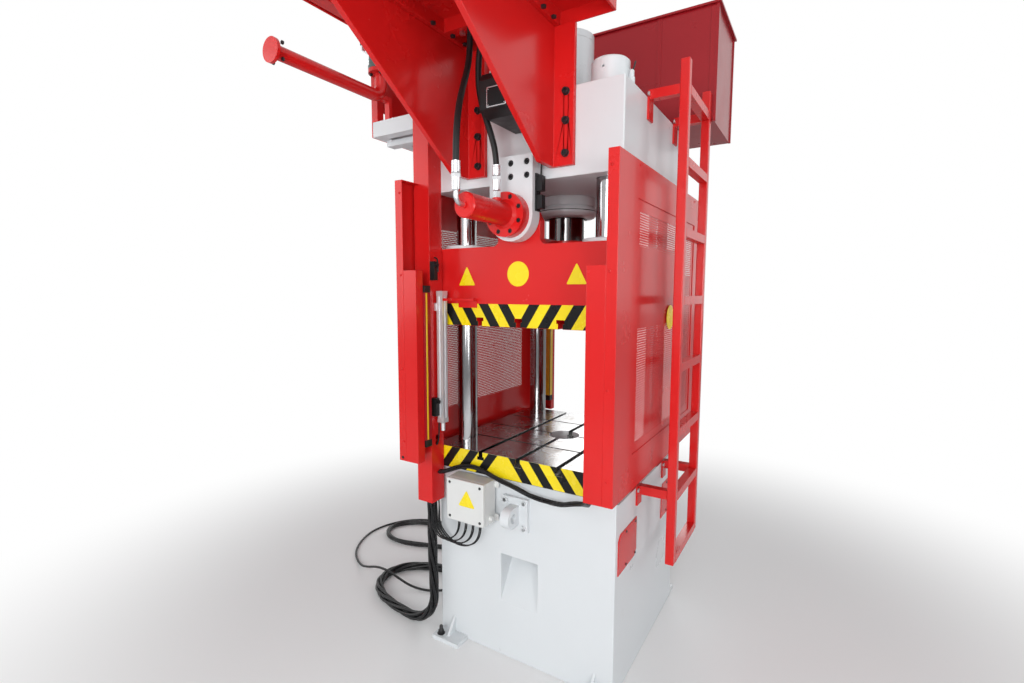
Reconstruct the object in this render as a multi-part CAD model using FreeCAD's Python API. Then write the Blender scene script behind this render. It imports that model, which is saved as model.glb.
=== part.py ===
"""Four-column hydraulic press with a single ram, side guards, locking cylinder and roof deck.

Millimetres, +Z up. The origin is on the floor under the ram's axis.
The front of the press faces -Y and its right side faces +X.
The slide is modelled at the top of its stroke, with the locking pin drawn back.
"""
import FreeCAD
import Part
import math
import os

V = FreeCAD.Vector

# ---------------------------------------------------------------- driving dimensions
# base, table and the space between table and slide
BASE_WIDTH = 900.0
BASE_DEPTH = 900.0
TABLE_HEIGHT = 960.0
TABLE_THICKNESS = 103.0
TABLE_WIDTH = 930.0
TABLE_DEPTH = 930.0
DAYLIGHT = 580.0
STROKE = 500.0
TABLE_BORE_RADIUS = 77.0

# T-slots of the table and the slide run front to back
SLOT_PITCH = 200.0
SLOT_COUNT = 3
SLOT_WIDTH = 22.0
SLOT_HEAD_WIDTH = 37.0
SLOT_HEAD_HEIGHT = 16.0
SLOT_DEPTH = 38.0

# columns
COLUMN_RADIUS = 47.5
COLUMN_SPACING_X = 705.0
COLUMN_SPACING_Y = 710.0
CAP_RADIUS = 76.0
CAP_HEIGHT = 103.0

# slide
SLIDE_WIDTH = 910.0
SLIDE_DEPTH = 930.0
SLIDE_HEIGHT = 350.0
SLIDE_FRONT_THICKNESS = 40.0
RIDGE_HALF_WIDTH = 103.0
RIDGE_TOP_HALF_WIDTH = 70.0
RIDGE_SHOULDER = 95.0
RIDGE_HEIGHT = 160.0
RIDGE_FILLET = 26.0
BUSH_CLEARANCE = 0.4
BUSH_WALL = 14.0
BUSH_FLANGE_RADIUS = 100.0
BUSH_FLANGE_THICKNESS = 24.0

# crown and main cylinder
CROWN_GAP = 256.0
CROWN_WIDTH = 910.0
CROWN_DEPTH = 940.0
CROWN_HEIGHT = 341.0
ROD_RADIUS = 88.0
BARREL_LOWER_RADIUS = 140.0
BARREL_UPPER_RADIUS = 120.0
BARREL_BORE_RADIUS = 104.0
BARREL_ABOVE_CROWN = 381.0
GLAND_RADIUS = 150.0
GLAND_HEIGHT = 55.0
RING_HEIGHT = 42.0
PISTON_HEIGHT = 90.0
ROD_CLEARANCE = 0.4

# locking cylinder on the front of the crown
LOCK_ABOVE_SLIDE = 113.0
BRACKET_WIDTH = 205.0
BRACKET_THICKNESS = 60.0
BRACKET_LAP = 95.0
LOCK_FLANGE_RADIUS = 89.0
LOCK_FLANGE_THICKNESS = 50.0
LOCK_FLANGE_PCD = 145.0
LOCK_BARREL_RADIUS = 46.5
LOCK_LENGTH = 250.0
LOCK_PIN_RADIUS = 25.0
LOCK_PIN_TRAVEL = 70.0
LOCK_PIN_CLEARANCE = 0.4

# side guards and light-curtain covers
GUARD_GAP = 6.0
GUARD_THICKNESS = 41.0
GUARD_HALF_DEPTH = 665.0
GUARD_BELOW_TABLE = 36.0
GUARD_LAP = 30.0
GUARD_WINDOW_HALF_DEPTH = 462.0
GUARD_SILL = 107.0
GUARD_HEADER = 108.0
SHEET_WALL = 4.0
MESH_THICKNESS = 2.0
COVER_WIDTH = 73.0
COVER_DEPTH = 44.0
COVER_ABOVE_SLIDE_FACE = 246.0
CURTAIN_LOW_ABOVE_TABLE = 30.0
CURTAIN_HIGH_ABOVE_SLIDE_FACE = 180.0
CURTAIN_WIDTH = 34.0
CURTAIN_DEPTH = 40.0
CURTAIN_SHOWING = 10.0

# gussets and front deck
GUSSET_THICKNESS = 22.0
GUSSET_RIGHT = 163.0
GUSSET_LEFT = -251.0
GUSSET_ABOVE_CROWN_FACE = 39.0
GUSSET_BOLT_STEPS = (46.0, 169.0, 277.0)
GUSSET_BOTTOM_LENGTH = 118.0
GUSSET_RISE_PER_RUN = 0.705
GUSSET_FLANGE_WIDTH = 108.0
GUSSET_FLANGE_THICKNESS = 20.0
DECK_ABOVE_CROWN = 225.0
DECK_HEIGHT = 60.0
DECK_LEFT = -504.0
DECK_RIGHT = 416.0

# duct post
POST_SIZE = 88.0
POST_OUTSIDE_GUARD = 29.0
POST_BELOW_TABLE = 157.0
POST_WALL = 4.0

# ladder
LADDER_REACH = 110.0
LADDER_TUBE = 37.0
LADDER_MIDDLE_Y = 23.0
STRINGER_GAP = 363.0
RUNG_FIRST = 539.0
RUNG_PITCH = 280.0
LADDER_ABOVE_CROWN = 125.0
ARM_LOW_DROP = 29.0
ARM_HIGH_RISE = 11.0
ARM_HEIGHT = 38.0
ARM_PLATE = 8.0

# rear oil tank
TANK_FRONT = 251.0
TANK_DEPTH = 417.0
TANK_LEFT = -600.0
TANK_RIGHT = 630.0
TANK_HEIGHT = 520.0
TANK_SEAM_X = 362.0

# left valve platform and bay
WING_REACH = 555.0
WING_FRONT = -312.0
WING_DEPTH = 550.0
WING_BEARER = 32.0
WING_BEAM = 79.0
WING_BEAM_WIDTH = 60.0
BAY_HEIGHT = 460.0
BAY_GAP = 70.0
BAY_SHEET = 6.0

# pipework on the left platform
PIPE_RADIUS = 30.0
PIPE_INSET = 108.0
PIPE_ABOVE_CROWN = 207.0
PIPE_ELBOW_RADIUS = 60.0
PIPE_FRONT = -960.0
PIPE_BACK = -352.0
PIPE_FLANGE_RADIUS = 62.0
PIPE_FLANGE_THICKNESS = 18.0
VALVE_ABOVE_CROWN = 339.0
VALVE_SIZE = 92.0

# junction box
JBOX_LEFT = -325.0
JBOX_WIDTH = 205.0
JBOX_DROP = 206.0
JBOX_HEIGHT = 196.0
JBOX_DEPTH = 95.0
JBOX_STANDOFF = 15.0
JBOX_LID = 22.0

# lifting lug
LUG_X = -12.0
LUG_DROP = 147.0
LUG_PLATE_WIDTH = 130.0
LUG_PLATE_HEIGHT = 150.0
LUG_PLATE_THICKNESS = 20.0
LUG_EAR_THICKNESS = 44.0
LUG_EYE_RADIUS = 21.0

# scrap chute
CHUTE_LEFT = -97.0
CHUTE_RIGHT = 93.0
CHUTE_BOTTOM = 266.0
CHUTE_TOP = 494.0
CHUTE_RUN = 130.0

# feet
FOOT_WIDTH = 155.0
FOOT_INSET = 4.0
FOOT_PROJECTION = 84.0
FOOT_THICKNESS = 20.0
ANCHOR_HOLE_RADIUS = 13.0
ANCHOR_EDGE = 33.0
RIB_THICKNESS = 12.0
RIB_HEIGHT = 76.0
RIB_LENGTH = 56.0

# lubrication pump, position sensing and small fittings
PUMP_X = 62.0
PUMP_WIDTH = 150.0
PUMP_ABOVE_CROWN_FACE = 198.0
PUMP_HEIGHT = 150.0
PUMP_PROJECTION = 264.0
TRANSDUCER_SIZE = 34.0
TRANSDUCER_ABOVE_TABLE = 125.0
TRANSDUCER_ABOVE_SLIDE_FACE = 157.0
SWITCH_STEPS = (160.0, 785.0)
SIDE_COVERS = ((-422.0, -194.0, 323.0, 151.0), (202.0, 346.0, 316.0, 139.0))

# cables and hoses
HOSE_DIAMETER = 24.0
CABLE_DIAMETER = 13.0
BUNDLE_DIAMETER = 48.0
LOOP_BUNDLE_DIAMETER = 32.0
SENSOR_CABLE_DIAMETER = 8.0
CORD_SIDES = 8
COLUMN_ABOVE_CROWN = 70.0

# ---------------------------------------------------------------- derived levels
TABLE_UNDERSIDE = TABLE_HEIGHT - TABLE_THICKNESS
SLIDE_BOTTOM = TABLE_HEIGHT + DAYLIGHT
SLIDE_TOP = SLIDE_BOTTOM + SLIDE_HEIGHT
CROWN_BOTTOM = SLIDE_TOP + CROWN_GAP
CROWN_TOP = CROWN_BOTTOM + CROWN_HEIGHT
BASE_FRONT = -BASE_DEPTH / 2
CROWN_FRONT = -CROWN_DEPTH / 2
TABLE_FRONT = -TABLE_DEPTH / 2
COLUMN_X = COLUMN_SPACING_X / 2
COLUMN_Y = COLUMN_SPACING_Y / 2
BUSH_BORE_RADIUS = COLUMN_RADIUS + BUSH_CLEARANCE
BUSH_OUTER_RADIUS = BUSH_BORE_RADIUS + BUSH_WALL
ANCHOR_X = BASE_WIDTH / 2 - FOOT_INSET - ANCHOR_EDGE
ANCHOR_Y = BASE_DEPTH / 2 + FOOT_PROJECTION - 30.0
COLUMN_END = CROWN_TOP + COLUMN_ABOVE_CROWN
BARREL_TOP = CROWN_TOP + BARREL_ABOVE_CROWN
LOCK_HEIGHT = SLIDE_TOP + LOCK_ABOVE_SLIDE
BRACKET_TOP = CROWN_BOTTOM + BRACKET_LAP
GUARD_INNER = max(TABLE_WIDTH, SLIDE_WIDTH, CROWN_WIDTH) / 2 + GUARD_GAP
GUARD_BOTTOM = TABLE_HEIGHT - GUARD_BELOW_TABLE
GUARD_TOP = CROWN_BOTTOM + GUARD_LAP
GUARD_WINDOW_BOTTOM = TABLE_HEIGHT + GUARD_SILL
GUARD_WINDOW_TOP = CROWN_BOTTOM - GUARD_HEADER
COVER_TOP = SLIDE_BOTTOM + COVER_ABOVE_SLIDE_FACE
CURTAIN_LOW = TABLE_HEIGHT + CURTAIN_LOW_ABOVE_TABLE
CURTAIN_HIGH = SLIDE_BOTTOM + CURTAIN_HIGH_ABOVE_SLIDE_FACE
GUSSET_BOTTOM = CROWN_BOTTOM + GUSSET_ABOVE_CROWN_FACE
GUSSET_BOLT_LEVELS = [GUSSET_BOTTOM + step for step in GUSSET_BOLT_STEPS]
DECK_UNDERSIDE = CROWN_TOP + DECK_ABOVE_CROWN
POST_LEFT = -GUARD_INNER - POST_OUTSIDE_GUARD
POST_BOTTOM = TABLE_UNDERSIDE - POST_BELOW_TABLE
CABLE_SILL = POST_BOTTOM + 10.0
LADDER_INNER = GUARD_INNER + LADDER_REACH
LADDER_TOP = CROWN_TOP + LADDER_ABOVE_CROWN
ARM_LOW = TABLE_UNDERSIDE - ARM_LOW_DROP
ARM_HIGH = CROWN_TOP + ARM_HIGH_RISE
RUNG_COUNT = int((LADDER_TOP - 30.0 - RUNG_FIRST) // RUNG_PITCH) + 1
WING_LEFT = -CROWN_WIDTH / 2 - WING_REACH
PIPE_X = WING_LEFT + PIPE_INSET
PIPE_HEIGHT = CROWN_TOP + PIPE_ABOVE_CROWN
VALVE_FLOOR = CROWN_TOP + VALVE_ABOVE_CROWN
JBOX_BOTTOM = TABLE_UNDERSIDE - JBOX_DROP
LUG_Z = TABLE_UNDERSIDE - LUG_DROP
PUMP_FLOOR = CROWN_BOTTOM + PUMP_ABOVE_CROWN_FACE
TRANSDUCER_LOW = TABLE_HEIGHT + TRANSDUCER_ABOVE_TABLE
TRANSDUCER_HIGH = SLIDE_BOTTOM + TRANSDUCER_ABOVE_SLIDE_FACE
SWITCH_LEVELS = [TABLE_HEIGHT + step for step in SWITCH_STEPS]
CABLE_ENTRIES = [TABLE_HEIGHT + 25.0, TABLE_HEIGHT + 50.0]
CORNERS = [("front_left", -1, -1), ("front_right", 1, -1), ("rear_left", -1, 1), ("rear_right", 1, 1)]


# ---------------------------------------------------------------- small tools
def box(x0, x1, y0, y1, z0, z1):
    return Part.makeBox(x1 - x0, y1 - y0, z1 - z0, V(x0, y0, z0))


def rod_z(x, y, z0, z1, radius):
    return Part.makeCylinder(radius, z1 - z0, V(x, y, z0), V(0, 0, 1))


def rod_y(x, z, y0, y1, radius):
    return Part.makeCylinder(radius, y1 - y0, V(x, y0, z), V(0, 1, 0))


def rod_x(y, z, x0, x1, radius):
    return Part.makeCylinder(radius, x1 - x0, V(x0, y, z), V(1, 0, 0))


def head_y(x, z, y0, y1, radius):
    """A small screw head facing the front, drawn with sixteen sides."""
    return front_profile([(x + radius * math.cos(math.pi * k / 8), z + radius * math.sin(math.pi * k / 8)) for k in range(16)], y0, y1)


def prism(points, direction):
    """A flat outline, given as 3-D points, pushed along a direction."""
    ring = Part.makePolygon([V(*p) for p in points] + [V(*points[0])])
    return Part.Face(ring).extrude(V(*direction))


def side_profile(points, x0, x1):
    return prism([(x0, y, z) for y, z in points], (x1 - x0, 0, 0))


def front_profile(points, y0, y1):
    return prism([(x, y0, z) for x, z in points], (0, y1 - y0, 0))


def turned_z(points, x=0.0, y=0.0):
    """A body turned about a vertical axis from (radius, z) points."""
    ring = Part.makePolygon([V(x + r, y, z) for r, z in points] + [V(x + points[0][0], y, points[0][1])])
    return Part.Face(ring).revolve(V(x, y, 0), V(0, 0, 1), 360)


def turned_y(points, x, z):
    """A body turned about a front-to-back axis from (radius, y) points."""
    ring = Part.makePolygon([V(x + r, y, z) for r, y in points] + [V(x + points[0][0], points[0][1], z)])
    return Part.Face(ring).revolve(V(x, 0, z), V(0, 1, 0), 360)


def cut_all(solid, tools):
    for tool in tools:
        solid = solid.cut(tool)
    return solid


def fuse_all(solids):
    joined = solids[0]
    for solid in solids[1:]:
        joined = joined.fuse(solid)
    return joined.removeSplitter()


def round_edges(solid, radius, wanted):
    """Fillets the edges whose middle and direction pass the test."""
    edges = []
    for edge in solid.Edges:
        middle = edge.valueAt((edge.FirstParameter + edge.LastParameter) / 2)
        if wanted(edge, middle):
            edges.append(edge)
    return solid.makeFillet(radius, edges)


def is_vertical(edge):
    return len(edge.Vertexes) == 2 and abs(edge.Vertexes[0].Z - edge.Vertexes[1].Z) > 0.99 * edge.Length


def along_y(edge):
    return len(edge.Vertexes) == 2 and abs(edge.Vertexes[0].Y - edge.Vertexes[1].Y) > 0.99 * edge.Length


def save(name, shape):
    os.makedirs("parts", exist_ok=True)
    if not shape.isValid():
        print("not valid:", name)
    shape.exportStep("parts/" + name + ".step")
    print("%-28s solids %d  volume %.4f m3" % (name, len(shape.Solids), shape.Volume / 1e9))


def tube_path(points):
    """Straight runs joined by tangent arcs, each arc as large as its two runs allow."""
    pts = [V(*p) for p in points]
    edges = []
    start = pts[0]
    radii = []
    for before, point, after in zip(pts, pts[1:], pts[2:]):
        back = before - point
        ahead = after - point
        reach = 0.45 * min(back.Length, ahead.Length)
        turn = math.pi - back.getAngle(ahead)
        radius = reach / math.tan(turn / 2)
        radii.append(radius)
        back.normalize()
        ahead.normalize()
        bisector = back + ahead
        bisector.normalize()
        middle = point + bisector * (radius / math.cos(turn / 2) - radius)
        arc_start = point + back * reach
        arc_end = point + ahead * reach
        edges.append(Part.LineSegment(start, arc_start).toShape())
        edges.append(Part.Arc(arc_start, middle, arc_end).toShape())
        start = arc_end
    edges.append(Part.LineSegment(start, pts[-1]).toShape())
    return Part.Wire(edges), radii


def tube(label, points, diameter):
    """A cord along its route, eight-sided, with its bend radii and volume printed."""
    path, radii = tube_path(points)
    heading = V(*points[1]) - V(*points[0])
    heading.normalize()
    across = heading.cross(V(0.3, 0.2, 0.9))
    across.normalize()
    up = heading.cross(across)
    ring = [V(*points[0]) + across * (math.cos(2 * math.pi * k / CORD_SIDES) * diameter / 2)
            + up * (math.sin(2 * math.pi * k / CORD_SIDES) * diameter / 2) for k in range(CORD_SIDES)]
    solid = path.makePipeShell([Part.makePolygon(ring + [ring[0]])], True, False)
    section = CORD_SIDES / 2 * (diameter / 2) ** 2 * math.sin(2 * math.pi / CORD_SIDES)
    print("%s: length %.0f, least radius %.1f dia, volume ratio %.4f"
          % (label, path.Length, min(radii) / diameter, solid.Volume / (section * path.Length)))
    return solid


def t_slots(z_face, direction, y0, y1):
    """Cutters for the T-slots in a horizontal face; direction is +1 to cut down, -1 to cut up."""
    cutters = []
    first = -SLOT_PITCH * (SLOT_COUNT - 1) / 2
    for index in range(SLOT_COUNT):
        x = first + index * SLOT_PITCH
        neck = SLOT_DEPTH - SLOT_HEAD_HEIGHT
        outline = [(x - SLOT_WIDTH / 2, z_face + direction), (x + SLOT_WIDTH / 2, z_face + direction),
                   (x + SLOT_WIDTH / 2, z_face - direction * neck), (x + SLOT_HEAD_WIDTH / 2, z_face - direction * neck),
                   (x + SLOT_HEAD_WIDTH / 2, z_face - direction * SLOT_DEPTH),
                   (x - SLOT_HEAD_WIDTH / 2, z_face - direction * SLOT_DEPTH),
                   (x - SLOT_HEAD_WIDTH / 2, z_face - direction * neck), (x - SLOT_WIDTH / 2, z_face - direction * neck)]
        cutters.append(front_profile(outline, y0, y1))
    return cutters


# ---------------------------------------------------------------- base
def make_base():
    body = box(-BASE_WIDTH / 2, BASE_WIDTH / 2, BASE_FRONT, -BASE_FRONT, 0, TABLE_UNDERSIDE)
    shaft = TABLE_BORE_RADIUS
    floor_far = BASE_FRONT + CHUTE_RUN
    chute = side_profile([(BASE_FRONT - 1, CHUTE_BOTTOM), (BASE_FRONT - 1, CHUTE_TOP), (floor_far, CHUTE_TOP + 40.0),
                          (-shaft, TABLE_UNDERSIDE - 60.0), (-shaft, TABLE_UNDERSIDE + 1), (shaft, TABLE_UNDERSIDE + 1),
                          (shaft, TABLE_UNDERSIDE - 150.0), (floor_far, CHUTE_TOP), (BASE_FRONT, CHUTE_BOTTOM)],
                         CHUTE_LEFT, CHUTE_RIGHT)
    return body.cut(chute)


def make_base_feet():
    """Four anchor plates welded to the base's front and back, each with a rib."""
    feet = []
    for side in (-1, 1):
        for end in (-1, 1):
            outer = side * (BASE_WIDTH / 2 - FOOT_INSET)
            inner = outer - side * FOOT_WIDTH
            wall, tip = end * BASE_DEPTH / 2, end * (BASE_DEPTH / 2 + FOOT_PROJECTION)
            plate = box(min(inner, outer), max(inner, outer), min(wall, tip), max(wall, tip), 0, FOOT_THICKNESS)
            plate = plate.cut(rod_z(side * ANCHOR_X, end * ANCHOR_Y, -1, FOOT_THICKNESS + 1, ANCHOR_HOLE_RADIUS))
            middle = (inner + outer) / 2
            rib = side_profile([(wall, FOOT_THICKNESS), (wall + end * RIB_LENGTH, FOOT_THICKNESS),
                                (wall, FOOT_THICKNESS + RIB_HEIGHT)], middle - RIB_THICKNESS / 2, middle + RIB_THICKNESS / 2)
            feet.append(fuse_all([plate, rib]))
    return Part.makeCompound(feet)


def make_table():
    plate = box(-TABLE_WIDTH / 2, TABLE_WIDTH / 2, TABLE_FRONT, -TABLE_FRONT, TABLE_UNDERSIDE, TABLE_HEIGHT)
    cutters = t_slots(TABLE_HEIGHT, 1, TABLE_FRONT - 1, -TABLE_FRONT + 1)
    cutters.append(rod_z(0, 0, TABLE_UNDERSIDE - 1, TABLE_HEIGHT + 1, TABLE_BORE_RADIUS))
    for _, sx, sy in CORNERS:
        cutters.append(rod_z(sx * COLUMN_X, sy * COLUMN_Y, TABLE_UNDERSIDE - 1, TABLE_HEIGHT + 1, COLUMN_RADIUS))
    return cut_all(plate, cutters)


def make_column(sx, sy):
    """A ground column, held in the table plate at its foot and by a round nut above the crown."""
    r = COLUMN_RADIUS
    return turned_z([(0, TABLE_UNDERSIDE), (r, TABLE_UNDERSIDE), (r, COLUMN_END - 3.0), (r - 3.0, COLUMN_END), (0, COLUMN_END)],
                    sx * COLUMN_X, sy * COLUMN_Y)


def make_column_cap(sx, sy):
    """The round nut on a column's top end, closed above, with tommy holes in its side."""
    r = CAP_RADIUS
    x, y = sx * COLUMN_X, sy * COLUMN_Y
    top = CROWN_TOP + CAP_HEIGHT
    cap = turned_z([(COLUMN_RADIUS, CROWN_TOP), (r, CROWN_TOP), (r, top - 8.0), (r - 8.0, top), (0, top),
                    (0, COLUMN_END), (COLUMN_RADIUS, COLUMN_END)], x, y)
    holes = [rod_y(x, CROWN_TOP + 62.0, y - r - 1, y - r + 14.0, 5.0),
             rod_x(y, CROWN_TOP + 62.0, x + r - 14.0, x + r + 1, 5.0)]
    return cut_all(cap, holes)


# ---------------------------------------------------------------- slide
def make_slide():
    half = SLIDE_WIDTH / 2
    front = -SLIDE_DEPTH / 2
    top = SLIDE_TOP
    outline = [(-half, SLIDE_BOTTOM), (half, SLIDE_BOTTOM), (half, top), (RIDGE_HALF_WIDTH, top),
               (RIDGE_HALF_WIDTH, top + RIDGE_SHOULDER), (RIDGE_TOP_HALF_WIDTH, top + RIDGE_HEIGHT),
               (-RIDGE_TOP_HALF_WIDTH, top + RIDGE_HEIGHT), (-RIDGE_HALF_WIDTH, top + RIDGE_SHOULDER),
               (-RIDGE_HALF_WIDTH, top), (-half, top)]
    plate = front_profile(outline, front, front + SLIDE_FRONT_THICKNESS)

    def at_ridge_foot(edge, middle):
        return along_y(edge) and abs(abs(middle.x) - RIDGE_HALF_WIDTH) < 0.1 and abs(middle.z - top) < 0.1

    plate = round_edges(plate, RIDGE_FILLET, at_ridge_foot)
    body = box(-half, half, front + SLIDE_FRONT_THICKNESS, -front, SLIDE_BOTTOM, top - BUSH_SEAT_DROP)
    boss = rod_z(0, 0, top - BUSH_SEAT_DROP, ROD_END, ROD_RADIUS + 42.0)
    web = box(-15.0, 15.0, front + SLIDE_FRONT_THICKNESS, -ROD_RADIUS, top - BUSH_SEAT_DROP, ROD_END)
    slide = fuse_all([plate, body, boss, web])
    cutters = t_slots(SLIDE_BOTTOM, -1, front - 1, -front + 1)
    for _, sx, sy in CORNERS:
        cutters.append(rod_z(sx * COLUMN_X, sy * COLUMN_Y, SLIDE_BOTTOM - 1, top + 1, BUSH_OUTER_RADIUS))
    cutters.append(rod_z(0, 0, ROD_SEAT, ROD_END + 1, ROD_RADIUS))
    cutters.append(rod_y(0, LOCK_HEIGHT, front - 1, front + SLIDE_FRONT_THICKNESS + 31.0, LOCK_SOCKET_RADIUS))
    return cut_all(slide, cutters)


BUSH_SEAT_DROP = 8.0
ROD_SEAT = SLIDE_TOP - 120.0
ROD_END = SLIDE_TOP + 46.0
LOCK_SOCKET_RADIUS = 40.0


def make_bush(sx, sy):
    """A guide bush with its round flange on top of the slide."""
    seat = SLIDE_TOP - BUSH_SEAT_DROP
    low = SLIDE_BOTTOM + 10.0
    flange_top = seat + BUSH_FLANGE_THICKNESS
    bush = turned_z([(BUSH_BORE_RADIUS, low), (BUSH_OUTER_RADIUS, low), (BUSH_OUTER_RADIUS, seat),
                     (BUSH_FLANGE_RADIUS, seat), (BUSH_FLANGE_RADIUS, flange_top - 3.0),
                     (BUSH_FLANGE_RADIUS - 3.0, flange_top), (BUSH_BORE_RADIUS, flange_top)],
                    sx * COLUMN_X, sy * COLUMN_Y)
    front = -SLIDE_DEPTH / 2 + SLIDE_FRONT_THICKNESS
    if sy < 0:
        bush = bush.cut(box(-SLIDE_WIDTH, SLIDE_WIDTH, front - 200.0, front, seat - 1, SLIDE_TOP))
    return bush


def make_ram():
    """The ram: a plated rod that seats in the slide, with a spigot for the piston on top."""
    top = PISTON_TOP
    return turned_z([(0, ROD_SEAT), (ROD_RADIUS, ROD_SEAT), (ROD_RADIUS, top - PISTON_HEIGHT),
                     (60.0, top - PISTON_HEIGHT), (60.0, top), (56.0, top + 4.0), (0, top + 4.0)])


PISTON_TOP = BARREL_TOP - 70.0


def make_piston():
    """The piston on the ram's spigot."""
    r = BARREL_BORE_RADIUS - ROD_CLEARANCE
    low = PISTON_TOP - PISTON_HEIGHT
    return turned_z([(60.0, low), (r, low), (r, PISTON_TOP), (60.0, PISTON_TOP)])


# ---------------------------------------------------------------- crown and main cylinder
def make_crown():
    body = box(-CROWN_WIDTH / 2, CROWN_WIDTH / 2, CROWN_FRONT, -CROWN_FRONT, CROWN_BOTTOM, CROWN_TOP)
    cutters = [rod_z(0, 0, CROWN_BOTTOM - 1, CROWN_TOP + 1, BARREL_UPPER_RADIUS)]
    for _, sx, sy in CORNERS:
        cutters.append(rod_z(sx * COLUMN_X, sy * COLUMN_Y, CROWN_BOTTOM - 1, CROWN_TOP + 1, COLUMN_RADIUS))
    return cut_all(body, cutters)


def make_barrel():
    """The main cylinder: a long barrel through the crown, held by a collar under it."""
    low = CROWN_BOTTOM - RING_HEIGHT
    return turned_z([(BARREL_BORE_RADIUS, low), (BARREL_LOWER_RADIUS, low), (BARREL_LOWER_RADIUS, CROWN_BOTTOM),
                     (BARREL_UPPER_RADIUS, CROWN_BOTTOM), (BARREL_UPPER_RADIUS, BARREL_TOP),
                     (BARREL_BORE_RADIUS, BARREL_TOP)])


def make_gland():
    """The rod gland under the barrel, stepped and tapered, bored to guide the ram."""
    top = CROWN_BOTTOM - RING_HEIGHT
    low = top - GLAND_HEIGHT
    bore = ROD_RADIUS + ROD_CLEARANCE
    return turned_z([(bore, low), (ROD_RADIUS + 14.0, low), (GLAND_RADIUS - 16.0, low + 6.0), (GLAND_RADIUS, low + 22.0),
                     (GLAND_RADIUS, top - 10.0), (GLAND_RADIUS - 14.0, top - 10.0), (GLAND_RADIUS - 14.0, top), (bore, top)])


def make_cylinder_head():
    """The end cover on the barrel, with its port boss."""
    low = BARREL_TOP
    return turned_z([(0, low), (BARREL_UPPER_RADIUS, low), (BARREL_UPPER_RADIUS, low + 30.0), (36.0, low + 30.0),
                     (36.0, low + 54.0), (18.0, low + 54.0), (18.0, low + 20.0), (0, low + 20.0)])


# ---------------------------------------------------------------- locking cylinder
BRACKET_FRONT = CROWN_FRONT - BRACKET_THICKNESS
LOCK_FLANGE_FRONT = BRACKET_FRONT - LOCK_FLANGE_THICKNESS
LOCK_END = LOCK_FLANGE_FRONT - LOCK_LENGTH
BRACKET_BOLT_X = 75.0
BRACKET_BOLT_LEVELS = (BRACKET_TOP - 29.0, BRACKET_TOP - 82.0)


def make_lock_bracket():
    """A thick bracket on the crown's front, rounded at its lower end about the locking cylinder."""
    half = BRACKET_WIDTH / 2
    straight = box(-half, half, BRACKET_FRONT, CROWN_FRONT, LOCK_HEIGHT, BRACKET_TOP)
    lower = rod_y(0, LOCK_HEIGHT, BRACKET_FRONT, CROWN_FRONT, half)
    bracket = fuse_all([straight, lower])
    cutters = [rod_y(0, LOCK_HEIGHT, BRACKET_FRONT - 1, CROWN_FRONT + 1, LOCK_PIN_RADIUS + LOCK_PIN_CLEARANCE)]
    for level in BRACKET_BOLT_LEVELS:
        for x in (-BRACKET_BOLT_X, 0.0, BRACKET_BOLT_X):
            cutters.append(rod_y(x, level, BRACKET_FRONT - 1, BRACKET_FRONT + 14.0, 13.0))
    return cut_all(bracket, cutters)


def lock_flange_holes():
    radius = LOCK_FLANGE_PCD / 2
    return [(radius * math.cos(math.radians(22.5 + 45 * k)), LOCK_HEIGHT + radius * math.sin(math.radians(22.5 + 45 * k)))
            for k in range(8)]


def make_lock_cylinder():
    """The locking cylinder: bolting flange and barrel in one, with a port boss on top."""
    y0, y1, y2 = LOCK_END, LOCK_FLANGE_FRONT, BRACKET_FRONT
    inner = LOCK_BARREL_RADIUS - 12.0
    body = turned_y([(inner, y0), (LOCK_BARREL_RADIUS, y0), (LOCK_BARREL_RADIUS, y1 - 12.0),
                     (LOCK_BARREL_RADIUS + 12.0, y1), (LOCK_FLANGE_RADIUS, y1), (LOCK_FLANGE_RADIUS, y2),
                     (LOCK_PIN_RADIUS + LOCK_PIN_CLEARANCE, y2), (LOCK_PIN_RADIUS + LOCK_PIN_CLEARANCE, y1), (inner, y1)],
                    0, LOCK_HEIGHT)
    port = rod_z(0, PORT_Y, LOCK_HEIGHT + LOCK_BARREL_RADIUS - 4.0, LOCK_HEIGHT + LOCK_BARREL_RADIUS + 10.0, 17.0)
    body = fuse_all([body, port.cut(rod_y(0, LOCK_HEIGHT, y0, y2, LOCK_BARREL_RADIUS - 1.0))])
    holes = [rod_y(x, z, y1 - 1, y1 + 10.0, 9.5) for x, z in lock_flange_holes()]
    return cut_all(body, holes)


PORT_Y = LOCK_FLANGE_FRONT - 52.0


def make_lock_end_cap():
    y0 = LOCK_END
    return turned_y([(0, y0 - 22.0), (13.0, y0 - 22.0), (13.0, y0 - 14.0), (LOCK_BARREL_RADIUS - 4.0, y0 - 14.0),
                     (LOCK_BARREL_RADIUS, y0 - 10.0), (LOCK_BARREL_RADIUS, y0), (0, y0)], 0, LOCK_HEIGHT)


def make_lock_screws():
    """The screw heads of the bracket and of the locking cylinder's flange."""
    screws = []
    for level in BRACKET_BOLT_LEVELS:
        for x in (-BRACKET_BOLT_X, 0.0, BRACKET_BOLT_X):
            screws.append(head_y(x, level, BRACKET_FRONT + 1.0, BRACKET_FRONT + 14.0, 12.0))
    for x, z in lock_flange_holes():
        screws.append(head_y(x, z, LOCK_FLANGE_FRONT + 1.0, LOCK_FLANGE_FRONT + 10.0, 8.5))
    return screws


def make_lock_pin():
    """The locking pin with its piston, drawn back so that its nose is just inside the bracket."""
    nose = CROWN_FRONT - 2.0
    piston = LOCK_FLANGE_FRONT - 4.0 - LOCK_PIN_TRAVEL
    return turned_y([(0, piston - 30.0), (LOCK_BARREL_RADIUS - 12.4, piston - 30.0), (LOCK_BARREL_RADIUS - 12.4, piston),
                     (LOCK_PIN_RADIUS, piston), (LOCK_PIN_RADIUS, nose - 6.0), (LOCK_PIN_RADIUS - 6.0, nose), (0, nose)],
                    0, LOCK_HEIGHT)


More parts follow.
